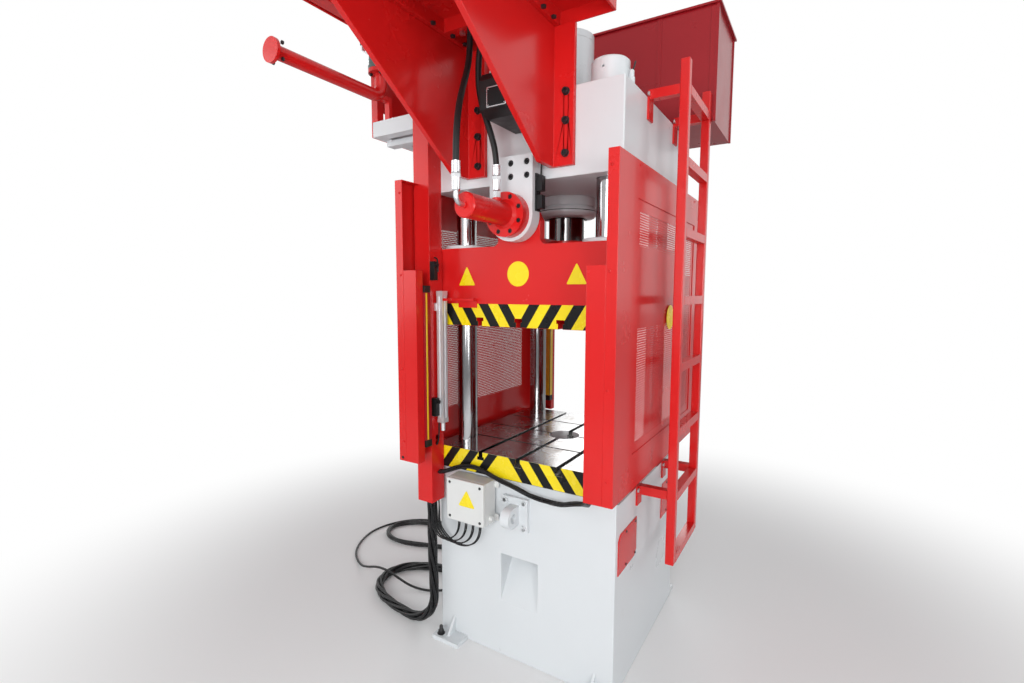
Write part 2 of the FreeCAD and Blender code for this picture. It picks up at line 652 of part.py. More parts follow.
def make_lock_socket():
    """A hardened bush in the slide's ridge that the pin enters."""
    y0 = -SLIDE_DEPTH / 2
    bore = LOCK_PIN_RADIUS + 2.0
    return turned_y([(bore + 3.0, y0), (LOCK_SOCKET_RADIUS, y0), (LOCK_SOCKET_RADIUS, y0 + SLIDE_FRONT_THICKNESS),
                     (bore, y0 + SLIDE_FRONT_THICKNESS), (bore, y0 + 3.0)], 0, LOCK_HEIGHT)


def make_lock_sensor():
    """Two switches on a small plate at the bracket's right edge."""
    x = BRACKET_WIDTH / 2
    y = BRACKET_FRONT + 20.0
    z = LOCK_HEIGHT + 15.0
    plate = box(x, x + 6.0, y, y + 36.0, z, z + 148.0)
    bodies = [box(x + 6.0, x + 30.0, y + 4.0, y + 32.0, z + 8.0, z + 62.0),
              box(x + 6.0, x + 30.0, y + 4.0, y + 32.0, z + 78.0, z + 138.0)]
    return fuse_all([plate] + bodies)


# ---------------------------------------------------------------- gussets, deck and lubrication unit
def make_gusset(x):
    """A triangular bracket plate with a bolting flange on its right-hand side."""
    left = x - GUSSET_THICKNESS / 2
    right = x + GUSSET_THICKNESS / 2
    back = CROWN_FRONT
    run = (DECK_UNDERSIDE - GUSSET_BOTTOM) / GUSSET_RISE_PER_RUN
    plate = side_profile([(back, GUSSET_BOTTOM), (back - GUSSET_BOTTOM_LENGTH, GUSSET_BOTTOM),
                          (back - GUSSET_BOTTOM_LENGTH - run, DECK_UNDERSIDE), (back, DECK_UNDERSIDE)], left, right)
    flange = box(right, left + GUSSET_FLANGE_WIDTH, back - GUSSET_FLANGE_THICKNESS, back, GUSSET_BOTTOM, DECK_UNDERSIDE)
    gusset = fuse_all([plate, flange])
    holes = [rod_y(right + 52.0, z, back - GUSSET_FLANGE_THICKNESS - 1, back + 1, 9.0) for z in GUSSET_BOLT_LEVELS]
    return cut_all(gusset, holes)


DECK_BACK = CROWN_FRONT
DECK_FRONT = CROWN_FRONT - GUSSET_BOTTOM_LENGTH - (DECK_UNDERSIDE - GUSSET_BOTTOM) / GUSSET_RISE_PER_RUN


def make_gusset_bolts():
    bolts = []
    for x in (GUSSET_LEFT, GUSSET_RIGHT):
        bolt_x = x + GUSSET_THICKNESS / 2 + 52.0
        for z in GUSSET_BOLT_LEVELS:
            face = CROWN_FRONT - GUSSET_FLANGE_THICKNESS
            shank = rod_y(bolt_x, z, face, CROWN_FRONT, 8.0)
            head = rod_y(bolt_x, z, face - 16.0, face, 13.0)
            bolts.append(fuse_all([shank, head]))
    return bolts


def make_deck():
    """The deck over the front: a plate with a channel edge all round."""
    outer = box(DECK_LEFT, DECK_RIGHT, DECK_FRONT, DECK_BACK, DECK_UNDERSIDE, DECK_UNDERSIDE + DECK_HEIGHT)
    hollow = box(DECK_LEFT + 8.0, DECK_RIGHT - 8.0, DECK_FRONT + 8.0, DECK_BACK - 8.0, DECK_UNDERSIDE - 1,
                 DECK_UNDERSIDE + DECK_HEIGHT - 8.0)
    deck = outer.cut(hollow)
    beams = []
    for x in (GUSSET_LEFT, GUSSET_RIGHT, POST_LEFT + POST_SIZE / 2):
        beams.append(box(x - 30.0, x + 30.0, DECK_FRONT + 4.0, DECK_BACK - 4.0, DECK_UNDERSIDE,
                         DECK_UNDERSIDE + DECK_HEIGHT - 4.0))
    hose_bar = box(GUSSET_LEFT, GUSSET_RIGHT, PORT_Y - 40.0, PORT_Y + 10.0, DECK_UNDERSIDE, DECK_UNDERSIDE + DECK_HEIGHT - 4.0)
    return fuse_all([deck] + beams + [hose_bar])


def make_grease_pump():
    """The lubrication pump's housing, wedge-shaped below, standing off the crown's front."""
    x0 = PUMP_X - PUMP_WIDTH / 2
    x1 = PUMP_X + PUMP_WIDTH / 2
    back = CROWN_FRONT
    front = back - PUMP_PROJECTION
    top = PUMP_FLOOR + PUMP_HEIGHT
    housing = side_profile([(back, PUMP_FLOOR), (front + 60.0, PUMP_FLOOR), (front, PUMP_FLOOR + 16.0), (front, top - 30.0),
                            (front + 22.0, top), (back - 20.0, top), (back, top - 20.0)], x0, x1)
    return round_edges(housing, 8.0, lambda edge, middle: is_vertical(edge) and middle.y < back - 50.0)


def make_reservoir():
    """The grease reservoir: a clear cylinder with a ribbed collar and a domed lid."""
    y = CROWN_FRONT - PUMP_PROJECTION + 72.0
    low = PUMP_FLOOR + PUMP_HEIGHT
    return turned_z([(0, low), (62.0, low), (62.0, low + 16.0), (56.0, low + 22.0), (56.0, low + 132.0), (62.0, low + 136.0),
                     (62.0, low + 150.0), (52.0, low + 158.0), (0, low + 164.0)], PUMP_X, y)


# ---------------------------------------------------------------- duct post and position sensing
POST_BACK = CROWN_FRONT
POST_FRONT = POST_BACK - POST_SIZE


def make_duct_post():
    """A square duct from the deck down past the table, open at its lower end."""
    x0, x1 = POST_LEFT, POST_LEFT + POST_SIZE
    post = box(x0, x1, POST_FRONT, POST_BACK, POST_BOTTOM, DECK_UNDERSIDE)
    bore = box(x0 + POST_WALL, x1 - POST_WALL, POST_FRONT + POST_WALL, POST_BACK - POST_WALL, POST_BOTTOM - 1,
               DECK_UNDERSIDE - POST_WALL)
    sill = box(x0, x1, POST_FRONT, POST_BACK, CABLE_SILL, CABLE_SILL + POST_WALL)
    entry = [rod_x(POST_FRONT + 40.0, z, x1 - POST_WALL - 1, x1 + 1, 12.0) for z in CABLE_ENTRIES]
    return cut_all(fuse_all([post.cut(bore), sill]), entry)


TRANSDUCER_X = POST_LEFT + POST_SIZE + 10.0
TRANSDUCER_Y = POST_FRONT + 34.0


def make_transducer():
    """The linear position transducer: a grooved aluminium extrusion with two end blocks."""
    x0, x1 = TRANSDUCER_X, TRANSDUCER_X + TRANSDUCER_SIZE
    y0, y1 = TRANSDUCER_Y, TRANSDUCER_Y + TRANSDUCER_SIZE
    outline = [(x0, y0), (x0 + 12.0, y0), (x0 + 12.0, y0 + 5.0), (x1 - 12.0, y0 + 5.0), (x1 - 12.0, y0), (x1, y0),
               (x1, y0 + 12.0), (x1 - 5.0, y0 + 12.0), (x1 - 5.0, y1 - 12.0), (x1, y1 - 12.0), (x1, y1), (x0, y1)]
    body = prism([(x, y, TRANSDUCER_LOW) for x, y in outline], (0, 0, TRANSDUCER_HIGH - TRANSDUCER_LOW))
    ends = [box(x0 - 1.0, x1 + 1.0, y0 - 1.0, y1 + 1.0, z, z + 22.0) for z in (TRANSDUCER_LOW, TRANSDUCER_HIGH - 22.0)]
    tail = rod_z((x0 + x1) / 2, (y0 + y1) / 2, TRANSDUCER_LOW - 40.0, TRANSDUCER_LOW, 10.0)
    clips = [box(POST_LEFT + POST_SIZE, x0, y0 - 6.0, y1 + 6.0, z, z + 34.0)
             for z in (TRANSDUCER_LOW + 60.0, TRANSDUCER_HIGH - 90.0)]
    return fuse_all([body] + ends + [tail] + clips)


def make_limit_switches():
    """Two black limit switches on the post, above and below the transducer."""
    x0 = POST_LEFT + POST_SIZE
    switches = []
    for z in SWITCH_LEVELS:
        body = box(x0, x0 + 26.0, POST_FRONT + 2.0, POST_FRONT + 26.0, z, z + 84.0)
        head = rod_x(POST_FRONT + 14.0, z + 68.0, x0 + 26.0, x0 + 38.0, 9.0)
        switches.append(fuse_all([body, head]))
    return switches


def make_magnet_arm():
    """The arm that carries the transducer's magnet, bolted to the slide's left front."""
    z = SLIDE_BOTTOM + 112.0
    y1 = -SLIDE_DEPTH / 2
    x_left = TRANSDUCER_X + TRANSDUCER_SIZE + 3.0
    bar = box(x_left, x_left + 150.0, y1 - 30.0, y1, z, z + 12.0)
    tip = box(x_left, x_left + 26.0, TRANSDUCER_Y - 2.0, y1, z, z + 12.0)
    tab = box(x_left + 50.0, x_left + 150.0, y1 - 8.0, y1, z - 30.0, z + 12.0)
    return fuse_all([bar, tip, tab])


# ---------------------------------------------------------------- side guards
def make_guard_frame(side):
    """A folded tray with a window for the perforated sheet, and pads to crown and table."""
    x_in, x_out = GUARD_INNER, GUARD_INNER + GUARD_THICKNESS
    d = GUARD_HALF_DEPTH
    w = GUARD_WINDOW_HALF_DEPTH
    s = SHEET_WALL
    tray = box(x_in, x_out, -d, d, GUARD_BOTTOM, GUARD_TOP)
    tray = tray.cut(box(x_in - 1, x_out - s, -d + s, d - s, GUARD_BOTTOM + s, GUARD_TOP - s))
    tray = tray.cut(box(x_in - 1, x_out + 1, -w, w, GUARD_WINDOW_BOTTOM, GUARD_WINDOW_TOP))
    pads = []
    for y in (-400.0, 400.0):
        pads.append(box(CROWN_WIDTH / 2, x_out - s, y - 40.0, y + 40.0, GUARD_TOP - s - 24.0, GUARD_TOP - s))
        pads.append(box(TABLE_WIDTH / 2, x_out - s, y - 40.0, y + 40.0, GUARD_BOTTOM + s, TABLE_HEIGHT - 4.0))
    frame = fuse_all([tray] + pads)
    if side < 0:
        frame = frame.mirror(V(0, 0, 0), V(1, 0, 0))
        gap = 2.0
        frame = frame.cut(box(POST_LEFT - gap, POST_LEFT + POST_SIZE + gap, POST_FRONT - gap, POST_BACK + gap,
                              GUARD_BOTTOM - 1, GUARD_TOP + 1))
    return frame


def make_guard_mesh(side):
    """The perforated sheet behind the window."""
    x_out = GUARD_INNER + GUARD_THICKNESS - SHEET_WALL
    w = GUARD_WINDOW_HALF_DEPTH + 18.0
    sheet = box(x_out - MESH_THICKNESS, x_out, -w, w, GUARD_WINDOW_BOTTOM - 18.0, GUARD_WINDOW_TOP + 18.0)
    return sheet if side > 0 else sheet.mirror(V(0, 0, 0), V(1, 0, 0))


def make_curtain_covers(side):
    """The folded covers in front and behind that house the light curtain's two bars."""
    covers = []
    s = SHEET_WALL
    for end in (-1, 1):
        x0, x1 = GUARD_INNER - COVER_WIDTH, GUARD_INNER
        outer, inner = GUARD_HALF_DEPTH, GUARD_HALF_DEPTH - COVER_DEPTH
        shell = box(x0, x1, inner, outer, GUARD_BOTTOM, COVER_TOP)
        shell = shell.cut(box(x0 + s, x1 + 1, inner - 1, outer - s, GUARD_BOTTOM + s, COVER_TOP - s))
        if end < 0:
            shell = shell.mirror(V(0, 0, 0), V(0, 1, 0))
        covers.append(shell)
    both = Part.makeCompound(covers)
    return both if side > 0 else both.mirror(V(0, 0, 0), V(1, 0, 0))


def make_light_curtain(side):
    """The light curtain's bars, one in the front cover and one in the rear cover."""
    bars = []
    for end in (-1, 1):
        x0 = GUARD_INNER - COVER_WIDTH - CURTAIN_SHOWING
        outer = GUARD_HALF_DEPTH - COVER_DEPTH
        bar = box(x0, x0 + CURTAIN_WIDTH, outer - CURTAIN_DEPTH, outer, CURTAIN_LOW, CURTAIN_HIGH)
        if end < 0:
            bar = bar.mirror(V(0, 0, 0), V(0, 1, 0))
        bars.append(bar)
    both = Part.makeCompound(bars)
    return both if side > 0 else both.mirror(V(0, 0, 0), V(1, 0, 0))


# ---------------------------------------------------------------- ladder
def make_stringer(end):
    """One upright of the ladder, a square tube closed at both ends."""
    y = LADDER_MIDDLE_Y + end * (STRINGER_GAP + LADDER_TUBE) / 2
    half = LADDER_TUBE / 2
    low = RUNG_FIRST - half
    high = LADDER_TOP
    return box(LADDER_INNER, LADDER_INNER + LADDER_TUBE, y - half, y + half, low, high)


def make_rungs():
    half = LADDER_TUBE / 2
    rungs = []
    for index in range(RUNG_COUNT):
        z = RUNG_FIRST + index * RUNG_PITCH
        rungs.append(box(LADDER_INNER, LADDER_INNER + LADDER_TUBE, LADDER_MIDDLE_Y - STRINGER_GAP / 2,
                         LADDER_MIDDLE_Y + STRINGER_GAP / 2, z - half, z + half))
    return Part.makeCompound(rungs)


def make_ladder_arms(level, wall, plate_low, plate_high):
    """The pair of arms at one level, each on a plate that is bolted to the press."""
    half = LADDER_TUBE / 2
    arms = []
    for end in (-1, 1):
        y = LADDER_MIDDLE_Y + end * (STRINGER_GAP + LADDER_TUBE) / 2
        arm = box(wall, LADDER_INNER, y - half, y + half, level - ARM_HEIGHT / 2, level + ARM_HEIGHT / 2)
        plate = box(wall, wall + ARM_PLATE, y - half - 12.0, y + half + 12.0, plate_low, plate_high)
        arms.append(fuse_all([arm, plate]))
    return Part.makeCompound(arms)


# ---------------------------------------------------------------- tank and left platform
def make_tank():
    """The rear oil tank with a flat lid that overhangs all round."""
    back = TANK_FRONT + TANK_DEPTH
    body = box(TANK_LEFT, TANK_RIGHT, TANK_FRONT, back, CROWN_TOP, CROWN_TOP + TANK_HEIGHT)
    posts = []
    for x in (TANK_LEFT, TANK_RIGHT):
        for y in (TANK_FRONT, back):
            posts.append(box(x - 6.0, x + 6.0, y - 6.0, y + 6.0, CROWN_TOP, CROWN_TOP + TANK_HEIGHT))
    seam = TANK_SEAM_X
    posts.append(box(seam - 12.0, seam + 12.0, TANK_FRONT - 3.0, TANK_FRONT, CROWN_TOP, CROWN_TOP + TANK_HEIGHT))
    tank = fuse_all([body] + posts)
    room = CAP_RADIUS + 6.0
    pockets = [rod_z(x, COLUMN_Y, CROWN_TOP - 1, CROWN_TOP + CAP_HEIGHT + 6.0, room) for x in (-COLUMN_X, COLUMN_X)]
    return cut_all(tank, pockets)


def make_tank_lid():
    back = TANK_FRONT + TANK_DEPTH
    top = CROWN_TOP + TANK_HEIGHT
    lid = box(TANK_LEFT - 15.0, TANK_RIGHT + 15.0, TANK_FRONT - 15.0, back + 15.0, top, top + 10.0)
    cover = rod_z(TANK_RIGHT - 230.0, (TANK_FRONT + back) / 2, top + 10.0, top + 24.0, 130.0)
    breather = turned_z([(0, top + 10.0), (28.0, top + 10.0), (28.0, top + 22.0), (40.0, top + 28.0), (40.0, top + 78.0),
                         (30.0, top + 86.0), (0, top + 86.0)], 0.0, (TANK_FRONT + back) / 2)
    return fuse_all([lid, cover, breather])


WING_FLOOR = CROWN_TOP + WING_BEARER
WING_TOP = WING_FLOOR + WING_BEAM
WING_RIGHT = -CROWN_WIDTH / 2 - 5.0
WING_BACK = WING_FRONT + WING_DEPTH


def make_platform():
    """The left platform: a welded frame with a floor plate, on two bearers over the crown."""
    w = WING_BEAM_WIDTH
    outer = box(WING_LEFT, WING_RIGHT, WING_FRONT, WING_BACK, WING_FLOOR, WING_TOP)
    inner = box(WING_LEFT + w, WING_RIGHT - w, WING_FRONT + w, WING_BACK - w, WING_FLOOR - 1, WING_TOP - 6.0)
    bearers = [box(WING_LEFT + 20.0, -190.0, y - 30.0, y + 30.0, CROWN_TOP, WING_FLOOR) for y in (-200.0, 170.0)]
    return fuse_all([outer.cut(inner)] + bearers)


def make_bay():
    """The valve bay's red sheet walls: left side, back and roof, with a front corner post."""
    s = BAY_SHEET
    x0, x1 = WING_LEFT - s, -620.0
    y0, y1 = WING_FRONT, WING_BACK
    low = WING_TOP + BAY_GAP
    top = low + BAY_HEIGHT
    side = box(x0, WING_LEFT, y0, y1, low, top)
    back = box(WING_LEFT, x1, y1 - s, y1, low, top)
    roof = box(x0, x1, y0, y1, top, top + s)
    posts = [box(x0, x0 + 44.0, y0, y0 + 44.0, WING_TOP, top), box(x0, x0 + 44.0, y1 - 44.0, y1, WING_TOP, top),
             box(x1 - 44.0, x1, y1 - 44.0, y1, WING_TOP, top)]
    skirt = box(x0, WING_LEFT, y0, y1, WING_FLOOR, WING_TOP)
    return fuse_all([side, back, roof, skirt] + posts)


def make_return_pipe():
    """The red pipe: forward run, elbow and riser with its flange."""
    bend = PIPE_ELBOW_RADIUS
    start = V(PIPE_X, PIPE_FRONT, PIPE_HEIGHT)
    a = V(PIPE_X, PIPE_BACK - bend, PIPE_HEIGHT)
    mid = V(PIPE_X, PIPE_BACK - bend + bend * math.sin(math.pi / 4), PIPE_HEIGHT + bend - bend * math.cos(math.pi / 4))
    b = V(PIPE_X, PIPE_BACK, PIPE_HEIGHT + bend)
    end = V(PIPE_X, PIPE_BACK, VALVE_FLOOR - PIPE_FLANGE_THICKNESS)
    path = Part.Wire([Part.LineSegment(start, a).toShape(), Part.Arc(a, mid, b).toShape(), Part.LineSegment(b, end).toShape()])
    outer = path.makePipeShell([Part.Wire([Part.Circle(start, V(0, 1, 0), PIPE_RADIUS).toShape()])], True, False)
    flange = rod_z(PIPE_X, PIPE_BACK, VALVE_FLOOR - PIPE_FLANGE_THICKNESS, VALVE_FLOOR, PIPE_FLANGE_RADIUS)
    stub = rod_y(PIPE_X, PIPE_HEIGHT, PIPE_FRONT - 14.0, PIPE_FRONT, PIPE_RADIUS + 22.0)
    stay = box(PIPE_X - 16.0, PIPE_X + 16.0, PIPE_BACK - 10.0, WING_FRONT + 20.0, PIPE_HEIGHT - 12.0, PIPE_HEIGHT + 12.0)
    leg = box(PIPE_X - 16.0, PIPE_X + 16.0, WING_FRONT, WING_FRONT + 20.0, WING_TOP, PIPE_HEIGHT + 12.0)
    return fuse_all([outer, flange, stub, stay, leg])


def make_valve():
    """A flanged ball valve body on the riser, with its stem facing left."""
    s = VALVE_SIZE / 2
    x, y, z = PIPE_X, PIPE_BACK, VALVE_FLOOR
    lower = rod_z(x, y, z, z + 16.0, PIPE_FLANGE_RADIUS)
    block = box(x - s, x + s, y - s, y + s, z + 16.0, z + 16.0 + VALVE_SIZE)
    block = block.makeChamfer(12.0, [e for e in block.Edges if is_vertical(e)])
    upper = rod_z(x, y, z + 16.0 + VALVE_SIZE, z + 32.0 + VALVE_SIZE, PIPE_FLANGE_RADIUS - 8.0)
    boss = rod_x(y, STEM_HEIGHT, x - s - BOSS_LENGTH, x - s, 20.0)
    stem = rod_x(y, STEM_HEIGHT, x - s - BOSS_LENGTH - 16.0, x - s, STEM_RADIUS)
    return fuse_all([lower, block, upper, boss, stem])


STEM_HEIGHT = VALVE_FLOOR + 16.0 + VALVE_SIZE / 2
STEM_RADIUS = 8.0
STEM_CLEARANCE = 0.35
BOSS_LENGTH = 14.0


def make_valve_lever():
    """The valve's cranked lever, on the stem, with its grip up."""
    x = PIPE_X - VALVE_SIZE / 2 - BOSS_LENGTH - STEM_CLEARANCE
    y = PIPE_BACK
    hub = rod_x(y, STEM_HEIGHT, x - 12.0, x, 16.0)
    foot = box(x - 12.0, x - 4.0, y - 11.0, y + 11.0, STEM_HEIGHT, STEM_HEIGHT + 34.0)
    crank = front_profile([(x - 12.0, STEM_HEIGHT + 26.0), (x - 4.0, STEM_HEIGHT + 26.0), (x - 60.0, STEM_HEIGHT + 66.0),
                           (x - 60.0, STEM_HEIGHT + 150.0), (x - 68.0, STEM_HEIGHT + 150.0), (x - 68.0, STEM_HEIGHT + 62.0)],
                          y - 11.0, y + 11.0)
    return fuse_all([hub, foot, crank]).cut(rod_x(y, STEM_HEIGHT, x - 13.0, x + 1.0, STEM_RADIUS + STEM_CLEARANCE))


def make_lever_grip():
    x = PIPE_X - VALVE_SIZE / 2 - BOSS_LENGTH - STEM_CLEARANCE - 64.0
    grip = box(x - 9.0, x + 9.0, PIPE_BACK - 15.0, PIPE_BACK + 15.0, STEM_HEIGHT + 92.0, STEM_HEIGHT + 196.0)
    grip = round_edges(grip, 6.0, lambda edge, middle: is_vertical(edge))
    slot = box(x - 4.0, x + 4.0, PIPE_BACK - 11.0, PIPE_BACK + 11.0, STEM_HEIGHT + 91.0, STEM_HEIGHT + 150.0)
    return grip.cut(slot)


# ---------------------------------------------------------------- fittings on the base's front
JBOX_BACK = BASE_FRONT - JBOX_STANDOFF
JBOX_FRONT = JBOX_BACK - JBOX_DEPTH


def make_junction_box():
    """The junction box's tub with its two wall lugs and stand-off feet."""
    x0, x1 = JBOX_LEFT, JBOX_LEFT + JBOX_WIDTH
    z0, z1 = JBOX_BOTTOM, JBOX_BOTTOM + JBOX_HEIGHT
    tub = box(x0, x1, JBOX_FRONT + JBOX_LID, JBOX_BACK, z0, z1)
    tub = tub.cut(box(x0 + 4, x1 - 4, JBOX_FRONT + JBOX_LID - 1, JBOX_BACK - 4, z0 + 4, z1 - 4))
    lugs = [box(x1, x1 + 22.0, JBOX_BACK - 5.0, JBOX_BACK, z1 - 36.0, z1 - 6.0),
            box(x1, x1 + 22.0, JBOX_BACK - 5.0, JBOX_BACK, z0 + 6.0, z0 + 36.0)]
    feet = [box(x, x + 30.0, JBOX_BACK, BASE_FRONT, z, z + 30.0) for x in (x0 + 10.0, x1 - 40.0) for z in (z0 + 6.0, z1 - 36.0)]
    glands = [rod_z(x, JBOX_BACK - 40.0, z0 - 16.0, z0, 10.0) for x in JBOX_GLANDS]
    side_gland = rod_x(JBOX_BACK - 40.0, z0 + 26.0, x1, x1 + 18.0, 12.0)
    return fuse_all([tub] + lugs + feet + glands + [side_gland])


JBOX_GLANDS = (-295.0, -255.0, -215.0, -175.0)


def make_junction_lid():
    x0, x1 = JBOX_LEFT, JBOX_LEFT + JBOX_WIDTH
    lid = box(x0, x1, JBOX_FRONT, JBOX_FRONT + JBOX_LID, JBOX_BOTTOM, JBOX_BOTTOM + JBOX_HEIGHT)
    return round_edges(lid, 5.0, lambda edge, middle: middle.y < JBOX_FRONT + 0.1)


def make_lifting_lug():
    """A bolted plate with a rounded ear and a cross eye for lifting."""
    y1 = BASE_FRONT
    y0 = y1 - LUG_PLATE_THICKNESS
    plate = box(LUG_X - LUG_PLATE_WIDTH / 2, LUG_X + LUG_PLATE_WIDTH / 2, y0, y1, LUG_Z - LUG_PLATE_HEIGHT / 2,
                LUG_Z + LUG_PLATE_HEIGHT / 2)
    half = LUG_EAR_THICKNESS / 2
    eye_y = y0 - 46.0
    ear = fuse_all([rod_x(eye_y, LUG_Z, LUG_X - half, LUG_X + half, 44.0),
                    box(LUG_X - half, LUG_X + half, eye_y, y0, LUG_Z - 44.0, LUG_Z + 44.0)])
    lug = fuse_all([plate, ear]).cut(rod_x(eye_y, LUG_Z, LUG_X - half - 1, LUG_X + half + 1, LUG_EYE_RADIUS))
    heads = [rod_y(LUG_X + sx * 46.0, LUG_Z + sz * 56.0, y0 - 10.0, y0, 12.0) for sx in (-1, 1) for sz in (-1, 1)]
    return fuse_all([lug] + heads)


def make_side_cover(y0, y1, z0, z1):
    """A cover plate on the base's right side, cut at its upper front and lower rear corners."""
    cut = 24.0
    x = BASE_WIDTH / 2
    corners = [(y0, z0), (y1 - cut, z0), (y1, z0 + cut), (y1, z1), (y0 + cut, z1), (y0, z1 - cut)]
    return side_profile(corners, x, x + 4.0)


# ---------------------------------------------------------------- cords and hoses
POST_CENTRE_X = POST_LEFT + POST_SIZE / 2
POST_CENTRE_Y = (POST_FRONT + POST_BACK) / 2


def make_hose_fitting_cap():
    """The bent fitting and crimped sleeve on the locking cylinder's end cap."""
    y0 = LOCK_END - 22.0
    z = LOCK_HEIGHT
    bend = 26.0
    a = V(0, y0, z)
    b = V(0, y0 - 12.0, z)
    mid = V(0, y0 - 12.0 - bend * math.sin(math.pi / 4), z + bend - bend * math.cos(math.pi / 4))
    c = V(0, y0 - 12.0 - bend, z + bend)
    d = V(0, y0 - 12.0 - bend, z + 40.0)
    path = Part.Wire([Part.LineSegment(a, b).toShape(), Part.Arc(b, mid, c).toShape(), Part.LineSegment(c, d).toShape()])
    stem = path.makePipeShell([Part.Wire([Part.Circle(a, V(0, -1, 0), 9.0).toShape()])], True, False)
    sleeve = turned_z([(0, z + 40.0), (13.0, z + 40.0), (16.0, z + 46.0), (16.0, z + 88.0), (0, z + 88.0)], 0, c.y)
    return fuse_all([stem, sleeve])


HOSE_CAP_Y = LOCK_END - 22.0 - 12.0 - 26.0
HOSE_CAP_Z = LOCK_HEIGHT + 88.0


def make_hose_fitting_port():
    """The straight nut and crimped sleeve on the locking cylinder's top port."""
    z = LOCK_HEIGHT + LOCK_BARREL_RADIUS + 10.0
    nut = prism([(17.0 * math.cos(k * math.pi / 3), PORT_Y + 17.0 * math.sin(k * math.pi / 3), z) for k in range(6)], (0, 0, 24.0))
    sleeve = turned_z([(0, z + 24.0), (12.0, z + 24.0), (16.0, z + 30.0), (16.0, z + 70.0), (0, z + 70.0)], 0, PORT_Y)
    return fuse_all([nut, sleeve])


HOSE_PORT_Z = LOCK_HEIGHT + LOCK_BARREL_RADIUS + 80.0
HOSE_CAP_RISE = (DECK_UNDERSIDE - HOSE_CAP_Z) / 621.0
HOSE_PORT_RISE = (DECK_UNDERSIDE - HOSE_PORT_Z) / 582.5


def hose_route(x_y_rise, z0, stretch):
    """The points of a hose that rises from z0; each rise is in proportion to the room under the deck."""
    return [(x, y, z0 + rise * stretch) for x, y, rise in x_y_rise]


HOSE_CAP_ROUTE = hose_route([(0, HOSE_CAP_Y, 0), (-1, HOSE_CAP_Y + 2, 94), (-16, HOSE_CAP_Y + 28, 194), (-42, HOSE_CAP_Y + 78, 284),
                             (-70, HOSE_CAP_Y + 138, 364), (-94, HOSE_CAP_Y + 196, 444), (-105, PORT_Y - 28, 531),
                             (-106, PORT_Y - 26, 621)], HOSE_CAP_Z, HOSE_CAP_RISE)
HOSE_PORT_ROUTE = hose_route([(0, PORT_Y, 0), (-1, PORT_Y, 86), (-22, PORT_Y - 4, 171), (-56, PORT_Y - 8, 261),
                              (-78, PORT_Y - 12, 356), (-76, PORT_Y - 13, 450), (-66, PORT_Y - 12, 520.5),
                              (-64, PORT_Y - 12, 582.5)], HOSE_PORT_Z, HOSE_PORT_RISE)
FRONT_RUN_ROUTE = [(x, y, TABLE_HEIGHT - drop) for x, y, drop in [
    (POST_LEFT + POST_SIZE, -508, 120), (-372, -504, 110), (-322, -496, 88), (-262, -490, 70), (-200, -488, 70),
    (-130, -488, 86), (-62, -488, 108), (10, -488, 124), (80, -488, 140), (150, -488, 149), (218, -488, 148),
    (284, -492, 128), (342, -522, 108), (386, -572, 80), (404, -598, 24), (405, -601, TABLE_HEIGHT - CURTAIN_LOW)]]


def junction_loop(index):
    """A cable from the duct's sill down and round, up into one of the junction box's glands."""
    x0, x1 = POST_LEFT + POST_SIZE - 18.0, JBOX_GLANDS[index]
    y0, y1 = POST_FRONT + 13.0 + 18.0 * index, JBOX_BACK - 40.0
    middle, half, sag = (x0 + x1) / 2, (x1 - x0) / 2, 84.0 + 8.0 * index
    level = JBOX_BOTTOM - 39.0
    return [(x0, y0, CABLE_SILL), (x0 + 3.0, y0 + 2.0, CABLE_SILL - 60.0), (x0, y0 + 0.1 * (y1 - y0), level - 0.41 * sag),
            (middle - 0.41 * half, y0 + 0.35 * (y1 - y0), level - sag), (middle + 0.41 * half, y0 + 0.7 * (y1 - y0), level - sag),
            (x1, y1, level - 0.41 * sag), (x1, y1 + 0.5, JBOX_BOTTOM - 16.0)]


# floor routes: distance left of the base's side, front-to-back place, height
BASE_LEFT = -BASE_WIDTH / 2
GLAND_LENGTH = 16.0
BUNDLE_LEVEL = BUNDLE_DIAMETER / 2 + 1.0
CABLE_LEVEL = CABLE_DIAMETER / 2 + 1.0
LOOP_LEVEL = LOOP_BUNDLE_DIAMETER / 2 + 1.0


def on_floor(points):
    return [(BASE_LEFT - away, y, z) for away, y, z in points]


BUNDLE_HANGING = [(POST_LEFT + 34.0, -500, 1.0), (POST_LEFT + 35.0, -499, 0.845), (POST_LEFT + 32.0, -497, 0.69),
                  (POST_LEFT + 31.0, -494, 0.549), (POST_LEFT + 33.0, -491, 0.401)]
BUNDLE_ROUTE = [(x, y, CABLE_SILL * share) for x, y, share in BUNDLE_HANGING] + on_floor([
    (16, -488, 167), (43, -486, 102), (92, -483, 53), (157, -480, BUNDLE_LEVEL), (240, -475, BUNDLE_LEVEL),
    (330, -462, BUNDLE_LEVEL), (418, -440, BUNDLE_LEVEL), (495, -402, BUNDLE_LEVEL), (552, -345, BUNDLE_LEVEL),
    (577, -268, BUNDLE_LEVEL), (562, -190, BUNDLE_LEVEL), (512, -124, BUNDLE_LEVEL), (440, -78, BUNDLE_LEVEL),
    (350, -48, BUNDLE_LEVEL), (250, -28, 28), (160, -16, 44), (80, -10, 66), (GLAND_LENGTH, -9, 74)])
